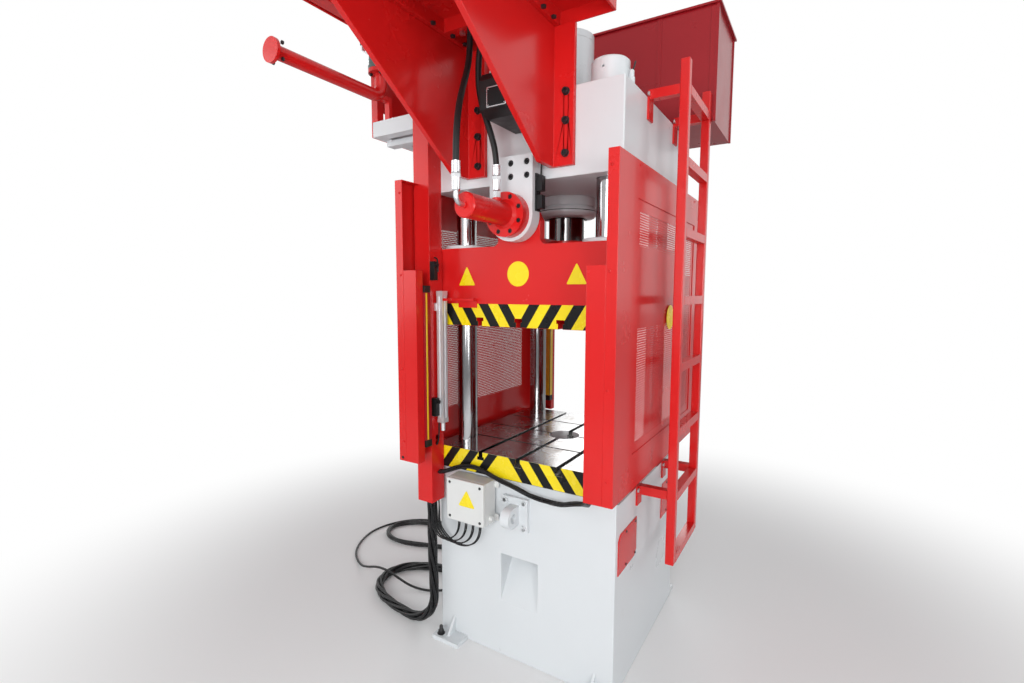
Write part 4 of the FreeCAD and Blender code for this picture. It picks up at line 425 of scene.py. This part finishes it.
# ---------------------------------------------------------------- shape tools
class Shape:
    """Collects parts in one mesh; sizes are in millimetres."""

    def __init__(self):
        self.mesh = bmesh.new()
        self.finishes = []

    def finish(self, material):
        if material not in self.finishes:
            self.finishes.append(material)
        return self.finishes.index(material)

    def face(self, corners, index, smooth=False):
        made = self.mesh.faces.new(corners)
        made.material_index, made.smooth = index, smooth

    def lathe(self, origin, axis, profile, material, sides=24, smooth=True, start=None):
        """A body of (radius, height) steps turned about an axis."""
        origin, axis = Vector(origin), Vector(axis).normalized()
        side = Vector(start or (UP if abs(axis.z) < 0.9 else RIGHT))
        side = (side - axis * side.dot(axis)).normalized()
        other = axis.cross(side)
        index, rows = self.finish(material), []
        for radius, height in profile:
            centre = origin + axis * height
            spokes = [TAU * k / sides for k in range(sides)] if radius > 0 else [0.0]
            rows.append([self.mesh.verts.new((centre + side * (radius * math.cos(t))
                                              + other * (radius * math.sin(t))) / 1000) for t in spokes])
        for a, b in zip(rows, rows[1:]):
            for k in range(sides):
                n = (k + 1) % sides
                if len(a) == 1:
                    ring = [a[0], b[n], b[k]]
                elif len(b) == 1:
                    ring = [a[k], a[n], b[0]]
                else:
                    ring = [a[k], a[n], b[n], b[k]]
                self.face(ring, index, smooth)

    def block(self, low, high, material):
        """A plain bar between two corners."""
        index = self.finish(material)
        v = [self.mesh.verts.new(Vector((x, y, z)) / 1000)
             for x in (low[0], high[0]) for y in (low[1], high[1]) for z in (low[2], high[2])]
        for ring in ((0, 1, 3, 2), (4, 6, 7, 5), (0, 4, 5, 1), (2, 3, 7, 6), (0, 2, 6, 4), (1, 5, 7, 3)):
            self.face([v[k] for k in ring], index)

    def plate(self, outline, thickness, material):
        """A flat outline of 3-D points, thickened along a vector."""
        index, push = self.finish(material), Vector(thickness)
        a = [self.mesh.verts.new(Vector(p) / 1000) for p in outline]
        b = [self.mesh.verts.new((Vector(p) + push) / 1000) for p in outline]
        self.face(a, index)
        self.face(b[::-1], index)
        for k in range(len(a)):
            n = (k + 1) % len(a)
            self.face([a[k], b[k], b[n], a[n]], index)

    def outward(self):
        bmesh.ops.recalc_face_normals(self.mesh, faces=self.mesh.faces)

    def data(self, name):
        made = bpy.data.meshes.new(name)
        self.mesh.to_mesh(made)
        self.mesh.free()
        for material in self.finishes:
            made.materials.append(material)
        return made

    def done(self, name, slot, body="frame", edge=0.0):
        self.outward()
        data = self.data(name)
        data.set_sharp_from_angle(angle=math.radians(35))
        thing = add_object(name, data)
        if edge:
            break_edges(thing, edge)
        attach(thing, body)
        return thing


def socket_screw(shape, spot, out, radius, height, recess):
    """A black cylinder-head screw with a hexagon socket, standing out along a direction."""
    mouth, floor_level = recess * 1.18, height * 0.4
    shape.lathe(spot, out, [(radius, 0), (radius, height - 1.2), (radius - 1.2, height), (mouth, height)],
                BLACK_STEEL, 28)
    shape.lathe(spot, out, [(mouth, height), (recess, height - 0.2), (recess, floor_level), (0, floor_level)],
                BLACK_STEEL, 6, smooth=False)


def pan_screw(shape, spot, out, radius, height, material=BLACK_STEEL):
    """A pan-head screw with a pressed-in square recess."""
    rim = radius * 0.55
    shape.lathe(spot, out, [(radius, 0), (radius, height * 0.45), (radius * 0.86, height * 0.85),
                            (rim, height)], material, 20)
    shape.lathe(spot, out, [(rim, height), (radius * 0.30, height * 0.5), (0, height * 0.5)], material, 4,
                smooth=False)


def hex_nut(shape, spot, out, radius, height, material, start=None):
    shape.lathe(spot, out, [(0, 0), (radius, 0), (radius, height - radius * 0.12), (radius * 0.86, height),
                            (0, height)], material, 6, smooth=False, start=start)


def washer(shape, spot, out, radius, height, material):
    shape.lathe(spot, out, [(0, 0), (radius, 0), (radius, height - 0.6), (radius - 0.8, height), (0, height)],
                material, 32)


# ---------------------------------------------------------------- large screws and bolts
def front_screws():
    """Screws of the lock bracket, of the lock cylinder's flange, and of both gussets."""
    shape = Shape()
    bracket_face, flange_face, gusset_face = -516, -570, -490
    flange_centre, bolt_circle = 2003, 72.5
    for z in (2212, 2159):
        for x in (-75, 0, 75):
            socket_screw(shape, (x, bracket_face, z), FRONT, 12, 13, 6.5)
    for k in range(8):
        a = math.radians(22.5 + 45 * k)
        spot = (bolt_circle * math.cos(a), flange_face, flange_centre + bolt_circle * math.sin(a))
        socket_screw(shape, spot, FRONT, 8.5, 9.4, 4.6)
    for x in (-188, 226):
        for z in (2231, 2354, 2462):
            washer(shape, (x, gusset_face, z), FRONT, 15.5, 2.6, BLACK_STEEL)
            socket_screw(shape, (x, gusset_face - 2.6, z), FRONT, 12.8, 13, 7.0)
    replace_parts(shape.done("front_screws", "black_steel"), "crown_front_screws")


def anchor_bolts():
    """A washer, a nut and a threaded end on each foot."""
    shape = Shape()
    foot, washer_top, nut_top = 20, 23, 37
    thread = [(8.8 - 0.7 * (i % 2), 1.6 * i) for i in range(14)]
    for x in (-413, 413):
        for y in (-504, 504):
            washer(shape, (x, y, foot), UP, 19, 3, BLACK_STEEL)
            hex_nut(shape, (x, y, washer_top), UP, 15.5, 14, BLACK_STEEL, start=(1, 0.3, 0))
            shape.lathe((x, y, nut_top), UP, thread + [(7.6, 23), (0, 23)], BLACK_STEEL, 20)
    shape.done("anchor_bolts", "black_steel")


front_screws()
anchor_bolts()

# ---------------------------------------------------------------- hazard stripes
STRIPED_FACE = -465
SLOT_CENTRES = (-200, 0, 200)
NECK_HALF, NECK_DEPTH, HEAD_HALF, HEAD_DEPTH = 11.0, 22, 18.5, 38


def clip(polygon, axis, limit, keep_above):
    """Cuts a flat polygon at a level of one coordinate."""
    kept = []
    for i, a in enumerate(polygon):
        b = polygon[(i + 1) % len(polygon)]
        inside_a = (a[axis] >= limit) == keep_above or a[axis] == limit
        inside_b = (b[axis] >= limit) == keep_above or b[axis] == limit
        if inside_a:
            kept.append(a)
        if inside_a != inside_b:
            t = (limit - a[axis]) / (b[axis] - a[axis])
            kept.append((a[0] + t * (b[0] - a[0]), a[1] + t * (b[1] - a[1])))
    return kept


def slot_cells(half, mouth, far):
    """The clear parts of a face between its T-slots, from the slots' mouths to the face's far edge."""
    way = 1 if far > mouth else -1
    cells = []
    for near, deep, gap in ((0, NECK_DEPTH, NECK_HALF), (NECK_DEPTH, HEAD_DEPTH, HEAD_HALF),
                            (HEAD_DEPTH, abs(far - mouth), None)):
        z0, z1 = sorted((mouth + way * near, mouth + way * deep))
        mouths = [c for x in SLOT_CENTRES for c in (x - gap, x + gap)] if gap else []
        edges = [-half] + mouths + [half]
        cells += [(x0, x1, z0, z1) for x0, x1 in zip(edges[::2], edges[1::2])]
    return cells


def hazard(name, body, low, high, cells, centre, first, pitch, black, slant):
    """Black bands on yellow, mirrored at a centre line; slant is how much further out their lower ends are."""
    shape = Shape()
    for x0, x1, z0, z1 in cells:
        shape.block((x0, STRIPED_FACE - 0.7, z0), (x1, STRIPED_FACE, z1), FOIL_YELLOW)
    for side in (-1, 1):
        for k in range(8):
            top = first + k * pitch
            bottom = top + slant
            band = [(centre + side * bottom, low), (centre + side * (bottom + black), low),
                    (centre + side * (top + black), high), (centre + side * top, high)]
            band = clip(band, 0, centre, side > 0)
            for x0, x1, z0, z1 in cells:
                part = band
                for axis, limit, above in ((0, x0, True), (0, x1, False), (1, z0, True), (1, z1, False)):
                    part = clip(part, axis, limit, above) if len(part) > 2 else []
                if len(part) > 2:
                    outline = [(x, STRIPED_FACE - 0.6, z) for x, z in part]
                    shape.plate(outline, (0, -0.4, 0), FOIL_BLACK)
    shape.done(name, "yellow_paint", body)


hazard("slide_stripes", "slide", 1541, 1640, slot_cells(453, 1541, 1640), centre=0, first=53, pitch=103,
       black=51, slant=-62)
hazard("table_stripes", "frame", 859, 959, slot_cells(463, 959, 859), centre=-78, first=28, pitch=104,
       black=50, slant=74)


# ---------------------------------------------------------------- table
def ground_table():
    """Table plate with three shallow cross grooves; the round bore in its middle is freshly turned."""
    groove_centres, groove_half, groove_floor, above_table = (-230, 0, 230), 6, 950, 970
    bore_reach = 0.0785
    copy = add_object("table_plate_cut", nodes["table_plate"].data.copy())
    shape = Shape()
    for y in groove_centres:
        shape.block((-480, y - groove_half, groove_floor), (480, y + groove_half, above_table), GROUND)
    shape.outward()
    cutter = add_object("cutter", shape.data("cutter"))
    weld(copy)
    take = copy.modifiers.new("cut", "BOOLEAN")
    take.operation, take.solver, take.object = "DIFFERENCE", "EXACT", cutter
    bpy.context.view_layer.update()
    made = bpy.data.meshes.new_from_object(copy.evaluated_get(bpy.context.evaluated_depsgraph_get()))
    bpy.data.objects.remove(copy)
    bpy.data.objects.remove(cutter)
    made.materials.clear()
    made.materials.append(GROUND)
    made.materials.append(BORED)
    for polygon in made.polygons:
        in_bore = math.hypot(*polygon.center.xy) < bore_reach and abs(polygon.normal.z) < 0.5
        polygon.material_index = 1 if in_bore else 0
    thing = add_object("table_plate_looks", made)
    break_edges(thing, 1.2)
    even_shading(thing)
    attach(thing, "frame")
    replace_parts(thing, "table_plate")


ground_table()


# ---------------------------------------------------------------- perforated sheets
def perforated(name, side, node):
    """Guard sheet with staggered hexagonal holes and a plain rim."""
    pitch, open_share, middle = 11.0, 0.34, side * 0.507
    y0, y1, z0, z1 = -424.0, 424.0, 1104.0, 1996.0
    rim_y, rim_low, rim_high = 480, 1049, 2056
    reach = pitch / math.sqrt(3)
    hole = reach * open_share
    ring = [(math.cos(TAU * (k + 0.5) / 6), math.sin(TAU * (k + 0.5) / 6)) for k in range(6)]
    shape = Shape()
    index = shape.finish(RED)
    corners = {}

    def corner(y, z):
        key = (round(y * 4), round(z * 4))
        if key not in corners:
            corners[key] = shape.mesh.verts.new((middle, y / 1000, z / 1000))
        return corners[key]

    row, z = 0, z0
    while z <= z1:
        y = y0 + (pitch / 2 if row % 2 else 0)
        while y <= y1:
            outer = [corner(y + reach * c, z + reach * s) for c, s in ring]
            inner = [shape.mesh.verts.new((middle, *mm(y + hole * c, z + hole * s))) for c, s in ring]
            for k in range(6):
                n = (k + 1) % 6
                shape.face([outer[k], outer[n], inner[n], inner[k]], index)
            y += pitch
        z += pitch * math.sqrt(3) / 2
        row += 1
    low_x, high_x = sorted((side * 506, side * 508))
    shape.block((low_x, -rim_y, rim_low), (high_x, y0 + 1, rim_high), RED)
    shape.block((low_x, y1 - 1, rim_low), (high_x, rim_y, rim_high), RED)
    shape.block((low_x, y0 + 1, rim_low), (high_x, y1 - 1, z0 + 1), RED)
    shape.block((low_x, y0 + 1, z1 - 1), (high_x, y1 - 1, rim_high), RED)
    thing = add_object(name, shape.data(name))
    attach(thing, "frame")
    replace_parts(thing, node)


perforated("guard_sheet_left", -1, "guard_mesh_left")
perforated("guard_sheet_right", 1, "guard_mesh_right")


# ---------------------------------------------------------------- blank plates
LID_FACE = -560
CORNER_STEPS = 5


def rounded(points, radius):
    """A flat outline with its corners rounded."""
    outline = []
    for i, corner in enumerate(points):
        before, after = points[i - 1], points[(i + 1) % len(points)]
        a, b = (before - corner).normalized(), (after - corner).normalized()
        setback = radius / math.tan(a.angle(b) / 2)
        start, end = corner + a * setback, corner + b * setback
        for k in range(CORNER_STEPS + 1):
            t = k / CORNER_STEPS
            outline.append(start * (1 - t) ** 2 + corner * 2 * t * (1 - t) + end * t ** 2)
    return outline


def raised_plate(shape, points, out, material, radius, thick=1.4):
    """A blank plate with rounded corners and a narrow raised rim."""
    points, out = [Vector(p) for p in points], Vector(out)
    heart = sum(points, Vector()) / len(points)

    def inset(line, distance):
        return [p + (heart - p).normalized() * distance for p in line]

    rim_width, soft_edge, rim_top = 3.9, 0.5, thick + 0.3
    outline = rounded(points, radius)
    inner = inset(outline, rim_width)
    steps = ((outline, -0.2), (outline, thick), (inset(outline, soft_edge), rim_top), (inner, rim_top),
             (inset(inner, soft_edge), thick - 0.2))
    index = shape.finish(material)
    rows = [[shape.mesh.verts.new((p + out * height) / 1000) for p in line] for line, height in steps]
    for a, b in zip(rows, rows[1:]):
        for k in range(len(a)):
            n = (k + 1) % len(a)
            shape.face([a[k], a[n], b[n], b[k]], index)
    shape.face(rows[-1], index)


def blank_round(shape, spot, out, radius):
    """A yellow round plate with a narrow raised rim."""
    shape.lathe(spot, out, [(radius, -0.2), (radius, 1.4), (radius - 0.5, 1.8), (radius - 4.2, 1.8),
                            (radius - 4.8, 1.2), (0, 1.2)], FOIL_YELLOW, 48)


def rivet(shape, spot, out, radius):
    shape.lathe(spot, out, [(radius, 0), (radius * 0.92, radius * 0.35), (radius * 0.5, radius * 0.65),
                            (0, radius * 0.72)], ZINC, 12)


def upright(x0, x1, y, z0, z1):
    """Corners of a rectangle that faces the front."""
    return [(x0, y, z0), (x1, y, z0), (x1, y, z1), (x0, y, z1)]


def slide_plates():
    shape = Shape()
    for x, z in ((-271, 1722), (270, 1724)):
        corners = [(x - 45, STRIPED_FACE, z), (x + 45, STRIPED_FACE, z), (x, STRIPED_FACE, z + 86)]
        raised_plate(shape, corners, FRONT, FOIL_YELLOW, radius=5)
    blank_round(shape, (-2, STRIPED_FACE, 1769), FRONT, 53)
    shape.done("slide_plates", "yellow_paint", "slide")


def blank_plates():
    """One on the junction box lid and one on the right guard."""
    shape = Shape()
    corners = [(-257, LID_FACE, 729), (-165, LID_FACE, 729), (-211, LID_FACE, 806)]
    raised_plate(shape, corners, FRONT, FOIL_YELLOW, radius=6)
    blank_round(shape, (512, 30, 1580), RIGHT, 55)
    shape.done("blank_plates", "yellow_paint")


def pump_plates():
    """A black field on a riveted bright plate in front of the grease pump, and a yellow one on its side."""
    shape = Shape()
    raised_plate(shape, upright(23, 107, -734, 2364, 2436), FRONT, ZINC, radius=4)
    raised_plate(shape, upright(27, 103, -735, 2368, 2432), FRONT, FOIL_BLACK, radius=2, thick=1.2)
    for x in (30, 100):
        for z in (2372, 2428):
            rivet(shape, (x, -735.4, z), FRONT, 2.4)
    corners = [(137, -716, 2372), (137, -662, 2372), (137, -662, 2436), (137, -716, 2436)]
    raised_plate(shape, corners, RIGHT, FOIL_YELLOW, radius=4, thick=0.8)
    shape.done("pump_plates", "zinc_steel")


slide_plates()
blank_plates()
pump_plates()

# ---------------------------------------------------------------- small screws and fittings
SIDE_COVERS = ((-330, -212, 534, 706), (294, 328, 541, 718))    # y of the screws, then the cover's z range
DECK_UNDERSIDE = 2712
LUG_CENTRE = (-12, 710)
GLAND_X = (-295, -255, -215, -175)


def lid_and_cover_screws(black):
    for x in (-306, -139):
        for z in (670, 829):
            pan_screw(black, (x, LID_FACE, z), FRONT, 6.2, 3.4)
    for y0, y1, z0, z1 in SIDE_COVERS:
        for y in (y0, y1):
            for z in (z0 + 14, z1 - 14):
                pan_screw(black, (454, y, z), RIGHT, 5.5, 3.2)


def guard_screws(red, black):
    for side in (-1, 1):
        for front in (-1, 1):
            for z in (1015, 1348, 1765, 2120):
                pan_screw(red, (side * 485, front * 665, z), (0, front, 0), 5.0, 3.0, RED)
            for z in (960, 2159):
                pan_screw(red, (side * 512, front * 448, z), (side, 0, 0), 5.0, 2.6, RED)
    pan_screw(black, (-491, -665, 940), FRONT, 6.5, 3.5)


def pipe_screws(black):
    """Screws of the red pipe's riser and of its end flange, on circles of the same size."""
    pipe_x, riser_y, riser_z, flange_y, flange_z = -902, -352, 2808, -942, 2694
    for k in range(4):
        a = math.radians(45 + 90 * k)
        dx, dy = 47 * math.cos(a), 47 * math.sin(a)
        socket_screw(black, (pipe_x + dx, riser_y + dy, riser_z), DOWN, 8.5, 10, 4.5)
        hex_nut(black, (pipe_x + dx, flange_y, flange_z + dy), BACK, 9, 8, BLACK_STEEL)


def lug_bolts(white):
    """Bolts of the lifting lug's plate, in the same paint as the plate."""
    for dx in (-49, 49):
        for dz in (-58, 58):
            x, z = LUG_CENTRE[0] + dx, LUG_CENTRE[1] + dz
            washer(white, (x, -470, z), FRONT, 13, 2, WHITE)
            hex_nut(white, (x, -472, z), FRONT, 11, 8, WHITE)


def crown_fitting(white, black):
    """A fitting with a short dark rod on top of the crown."""
    x, y = 438, -355
    white.lathe((x, y, 2487), UP, [(13, 0), (13, 26), (10, 30), (10, 52), (6, 56), (0, 56)], WHITE)
    black.lathe((x, y, 2520), (0.28, 0, 1), [(3.2, 0), (3.2, 52), (2.2, 54), (0, 54)], BLACK_STEEL, 12)


def deck_and_ladder_nuts(black, bright):
    for x in (-204, 206):
        for y in (-560, -640, -760):
            hex_nut(black, (x, y, DECK_UNDERSIDE), DOWN, 11, 9, BLACK_STEEL)
    for arm_y in (-178, 223):
        for z in (828, 2498):
            for dy in (26, -26):
                hex_nut(bright, (458, arm_y + dy, z), RIGHT, 10, 7, ZINC)


def hose_ends(bright):
    """Nut and ridged ferrule at the lower end of each lock hose."""
    ridges = [(16.4 - 1.3 * (i % 2), 5 + 4.2 * i) for i in range(8)]
    for x, y, z in (HOSE_CAP[0], HOSE_PORT[0]):
        hex_nut(bright, (x, y, z - 2), UP, 18.5, 16, ZINC)
        bright.lathe((x, y, z + 14), (-0.01, 0.02, 1),
                     [(15.6, 0), (16.4, 2)] + ridges + [(16.0, 40), (12.2, 42)], ZINC, 28)


def deck_screws(bright, black):
    """A large nut and three screws beside the hoses, under the deck."""
    hex_nut(bright, (-155, -641, DECK_UNDERSIDE), DOWN, 13, 12, ZINC)
    for x, y in ((-30, -660), (2, -638), (26, -655)):
        pan_screw(black, (x, y, DECK_UNDERSIDE), DOWN, 5.5, 3.0)


def small_parts():
    black, bright, white, red = Shape(), Shape(), Shape(), Shape()
    lid_and_cover_screws(black)
    guard_screws(red, black)
    pipe_screws(black)
    lug_bolts(white)
    crown_fitting(white, black)
    deck_and_ladder_nuts(black, bright)
    hose_ends(bright)
    deck_screws(bright, black)
    for x in GLAND_X:
        hex_nut(bright, (x, -505, 634), DOWN, 11.5, 9, ZINC)
    black.done("black_screws", "black_steel")
    bright.done("bright_fittings", "zinc_steel")
    white.done("white_fittings", "white_paint")
    red.done("painted_screws", "red_paint")


small_parts()


# ---------------------------------------------------------------- rings on the gland and reservoir
def gland_seals():
    """A black line round the rod gland, and the seal's lip about the ram."""
    shape = Shape()
    gland = (0, 0, 2049)
    shape.lathe(gland, UP, [(150.2, 30), (151.0, 30.6), (151.0, 33.4), (150.2, 34)], BLACK_STEEL, 96)
    shape.lathe(gland, UP, [(88.6, -1), (96, -1.2), (100, -0.4), (100, 0.2)], BLACK_STEEL, 96)
    shape.done("gland_seals", "black_plastic")


def reservoir_rings():
    """Seat, cap and blank yellow band of the grease reservoir."""
    shape = Shape()
    low, high = (Vector(corner) * 1000 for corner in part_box("grease_reservoir"))
    x, y, radius = (low.x + high.x) / 2, (low.y + high.y) / 2, (high.x - low.x) / 2
    seat = [(radius - 1, -0.2), (radius + 1.6, 0), (radius + 1.6, 9), (radius, 11)]
    cap = [(radius, -1), (radius + 1.8, 1), (radius + 1.8, 12), (radius - 3, 16.5), (0, 16.5)]
    band = [(radius - 0.2, 0), (radius + 0.4, 0.2), (radius + 0.4, 27.8), (radius - 0.2, 28)]
    for z, profile, material in ((low.z, seat, GREY_PLASTIC), (high.z - 16, cap, BLACK_PLASTIC),
                                 (low.z + 26, band, FOIL_YELLOW)):
        shape.lathe((x, y, z), UP, profile, material, 48)
    shape.done("reservoir_rings", "grey_plastic")


gland_seals()
reservoir_rings()

# ---------------------------------------------------------------- cables of the position transducer
UPPER_SWITCH = [
    (-388, -528, 1782), (-388, -528, 1812), (-390, -527, 1836), (-400, -525, 1846), (-410, -524, 1848)]
LOWER_SWITCH = [
    (-388, -532, 1084), (-388, -532, 1050), (-391, -531, 1016), (-399, -528, 988), (-410, -526, 978)]
cord("upper_switch_cable", UPPER_SWITCH, 7, None, CABLE, "black_plastic", "medium", "loose")
cord("lower_switch_cable", LOWER_SWITCH, 7, None, CABLE, "black_plastic", "medium", "loose")


# ---------------------------------------------------------------- light curtain bars
def curtain_bars():
    """Four bars with a black piece at each end and yellow strips on the two faces towards the table."""
    low, strip_low, strip_high, high = 990, 1022, 1690, 1720
    shape = Shape()
    for side in (-1, 1):
        x0, x1 = sorted((side * 388, side * 422))
        side_strip = sorted((side * 390, side * 388))
        for front in (-1, 1):
            y0, y1 = sorted((front * 581, front * 621))
            shape.block((x0, y0 + 1, low), (x1, y1 - 1, strip_low), BLACK_PLASTIC)
            shape.block((x0, y0 + 1, strip_high), (x1, y1 - 1, high), BLACK_PLASTIC)
            shape.block((x0 + 0.6, y0 + 0.6, strip_low), (x1 - 0.6, y1 - 0.6, strip_high),
                        DARK_RED if front < 0 else BLACK_PLASTIC)
            near, far = (y0 + 8, y0 + 18) if front < 0 else (y0 + 4, y1 - 4)
            shape.block((side_strip[0], near, strip_low + 2), (side_strip[1], far, strip_high - 2), YELLOW)
            near, far = (y1 - 2, y1) if front < 0 else (y0, y0 + 2)
            shape.block((x0 + 3, near, strip_low + 2), (x1 - 3, far, strip_high - 2), YELLOW)
    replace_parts(shape.done("curtain_bars", "yellow_paint", edge=0.8), "light_curtain_bars")


curtain_bars()


# ---------------------------------------------------------------- tank seams
def tank_seams():
    """Raised seams on the tank's front and round its right front corner."""
    low, high = 2500, 3000
    shape = Shape()
    for x0, x1, y0, y1 in ((357, 367, 246.5, 251.5), (600, 633, 247.5, 251.5), (629.5, 633.5, 247.5, 290)):
        shape.block((x0, y0, low), (x1, y1, high), DARK_RED)
    shape.done("tank_seams", "dark_red_paint", edge=0.8)


tank_seams()

# ---------------------------------------------------------------- floor and light
FLOOR_REACH = 40
FADE_FROM, FADE_TO = 1.5, 3.6
LAMPS = {    # place, target, diameter, power
    "key": ((2.4, -5.2, 4.6), (0, 0, 1.5), 3.0, 45),
    "fill": ((-4.6, -3.4, 2.6), (0, 0, 1.3), 3.5, 60),
    "side": ((5.2, 1.0, 3.2), (0, 0, 1.4), 3.0, 40),
    "front": ((1.2, -5.6, 2.2), (0, 0, 1.9), 2.4, 115),
    "low": ((4.3, -4.6, 1.6), (-0.3, 0, 1.7), 1.8, 85),
    "back": ((-1.5, 5.4, 3.6), (0, 0, 1.4), 3.0, 60),
}
SKY_COLOUR, SKY_STRENGTH = (0.96, 0.98, 1.0, 1), 0.35


def floor_material():
    """Pale matt floor that fades to the white of the background far from the press."""
    material = surface("floor", (0.84, 0.84, 0.84), 0.01, (0.6, 0.7), 1.0, specular=0.15)
    tree = Tree(material.node_tree)
    by_type = {node.type: node for node in material.node_tree.nodes}
    out, shader = by_type["OUTPUT_MATERIAL"], by_type["BSDF_PRINCIPLED"]
    place, ray = tree.add("TexCoord"), tree.add("LightPath")
    reach = tree.add("VectorMath", operation="LENGTH")
    far = tree.add("MapRange", {"From Min": FADE_FROM, "From Max": FADE_TO}, interpolation_type="SMOOTHSTEP")
    seen = tree.add("Math", operation="MULTIPLY")
    white, mix = tree.add("Emission"), tree.add("MixShader")
    tree.join((place.outputs["Object"], reach.inputs[0]), (reach.outputs["Value"], far.inputs["Value"]),
              (far.outputs["Result"], seen.inputs[0]), (ray.outputs["Is Camera Ray"], seen.inputs[1]),
              (seen.outputs[0], mix.inputs["Fac"]), (shader.outputs[0], mix.inputs[1]),
              (white.outputs[0], mix.inputs[2]), (mix.outputs[0], out.inputs["Surface"]))
    return material


def lay_floor():
    data, r = bpy.data.meshes.new("floor"), FLOOR_REACH
    data.from_pydata([(-r, -r, 0), (r, -r, 0), (r, r, 0), (-r, r, 0)], [], [(0, 1, 2, 3)])
    data.materials.append(floor_material())
    add_object("floor", data)


def lamp(name, place, target, size, power):
    light = bpy.data.lights.new(name, "AREA")
    light.shape, light.size, light.energy = "DISK", size, power
    holder = add_object(name, light)
    holder.location = place
    holder.rotation_euler = (Vector(target) - Vector(place)).to_track_quat("-Z", "Y").to_euler()


def light_world():
    """Soft light on the press; white to the camera, in reflections and through clear parts."""
    world = bpy.data.worlds.new("studio")
    scene.world = world
    tree = empty_tree(world)
    ray, mix, out = tree.add("LightPath"), tree.add("MixShader"), tree.add("OutputWorld")
    seen, seen_all = tree.add("Math", operation="MAXIMUM"), tree.add("Math", operation="MAXIMUM")
    soft = tree.add("Background", {"Color": SKY_COLOUR, "Strength": SKY_STRENGTH})
    white = tree.add("Background", {"Color": (1, 1, 1, 1), "Strength": 1.0})
    tree.join((ray.outputs["Is Camera Ray"], seen.inputs[0]), (ray.outputs["Is Glossy Ray"], seen.inputs[1]),
              (seen.outputs[0], seen_all.inputs[0]), (ray.outputs["Is Transmission Ray"], seen_all.inputs[1]),
              (seen_all.outputs[0], mix.inputs["Fac"]), (soft.outputs[0], mix.inputs[1]),
              (white.outputs[0], mix.inputs[2]), (mix.outputs[0], out.inputs["Surface"]))


lay_floor()
for lamp_name, facts in LAMPS.items():
    lamp(lamp_name, *facts)
light_world()
scene.view_settings.view_transform = "Standard"

bpy.context.view_layer.update()
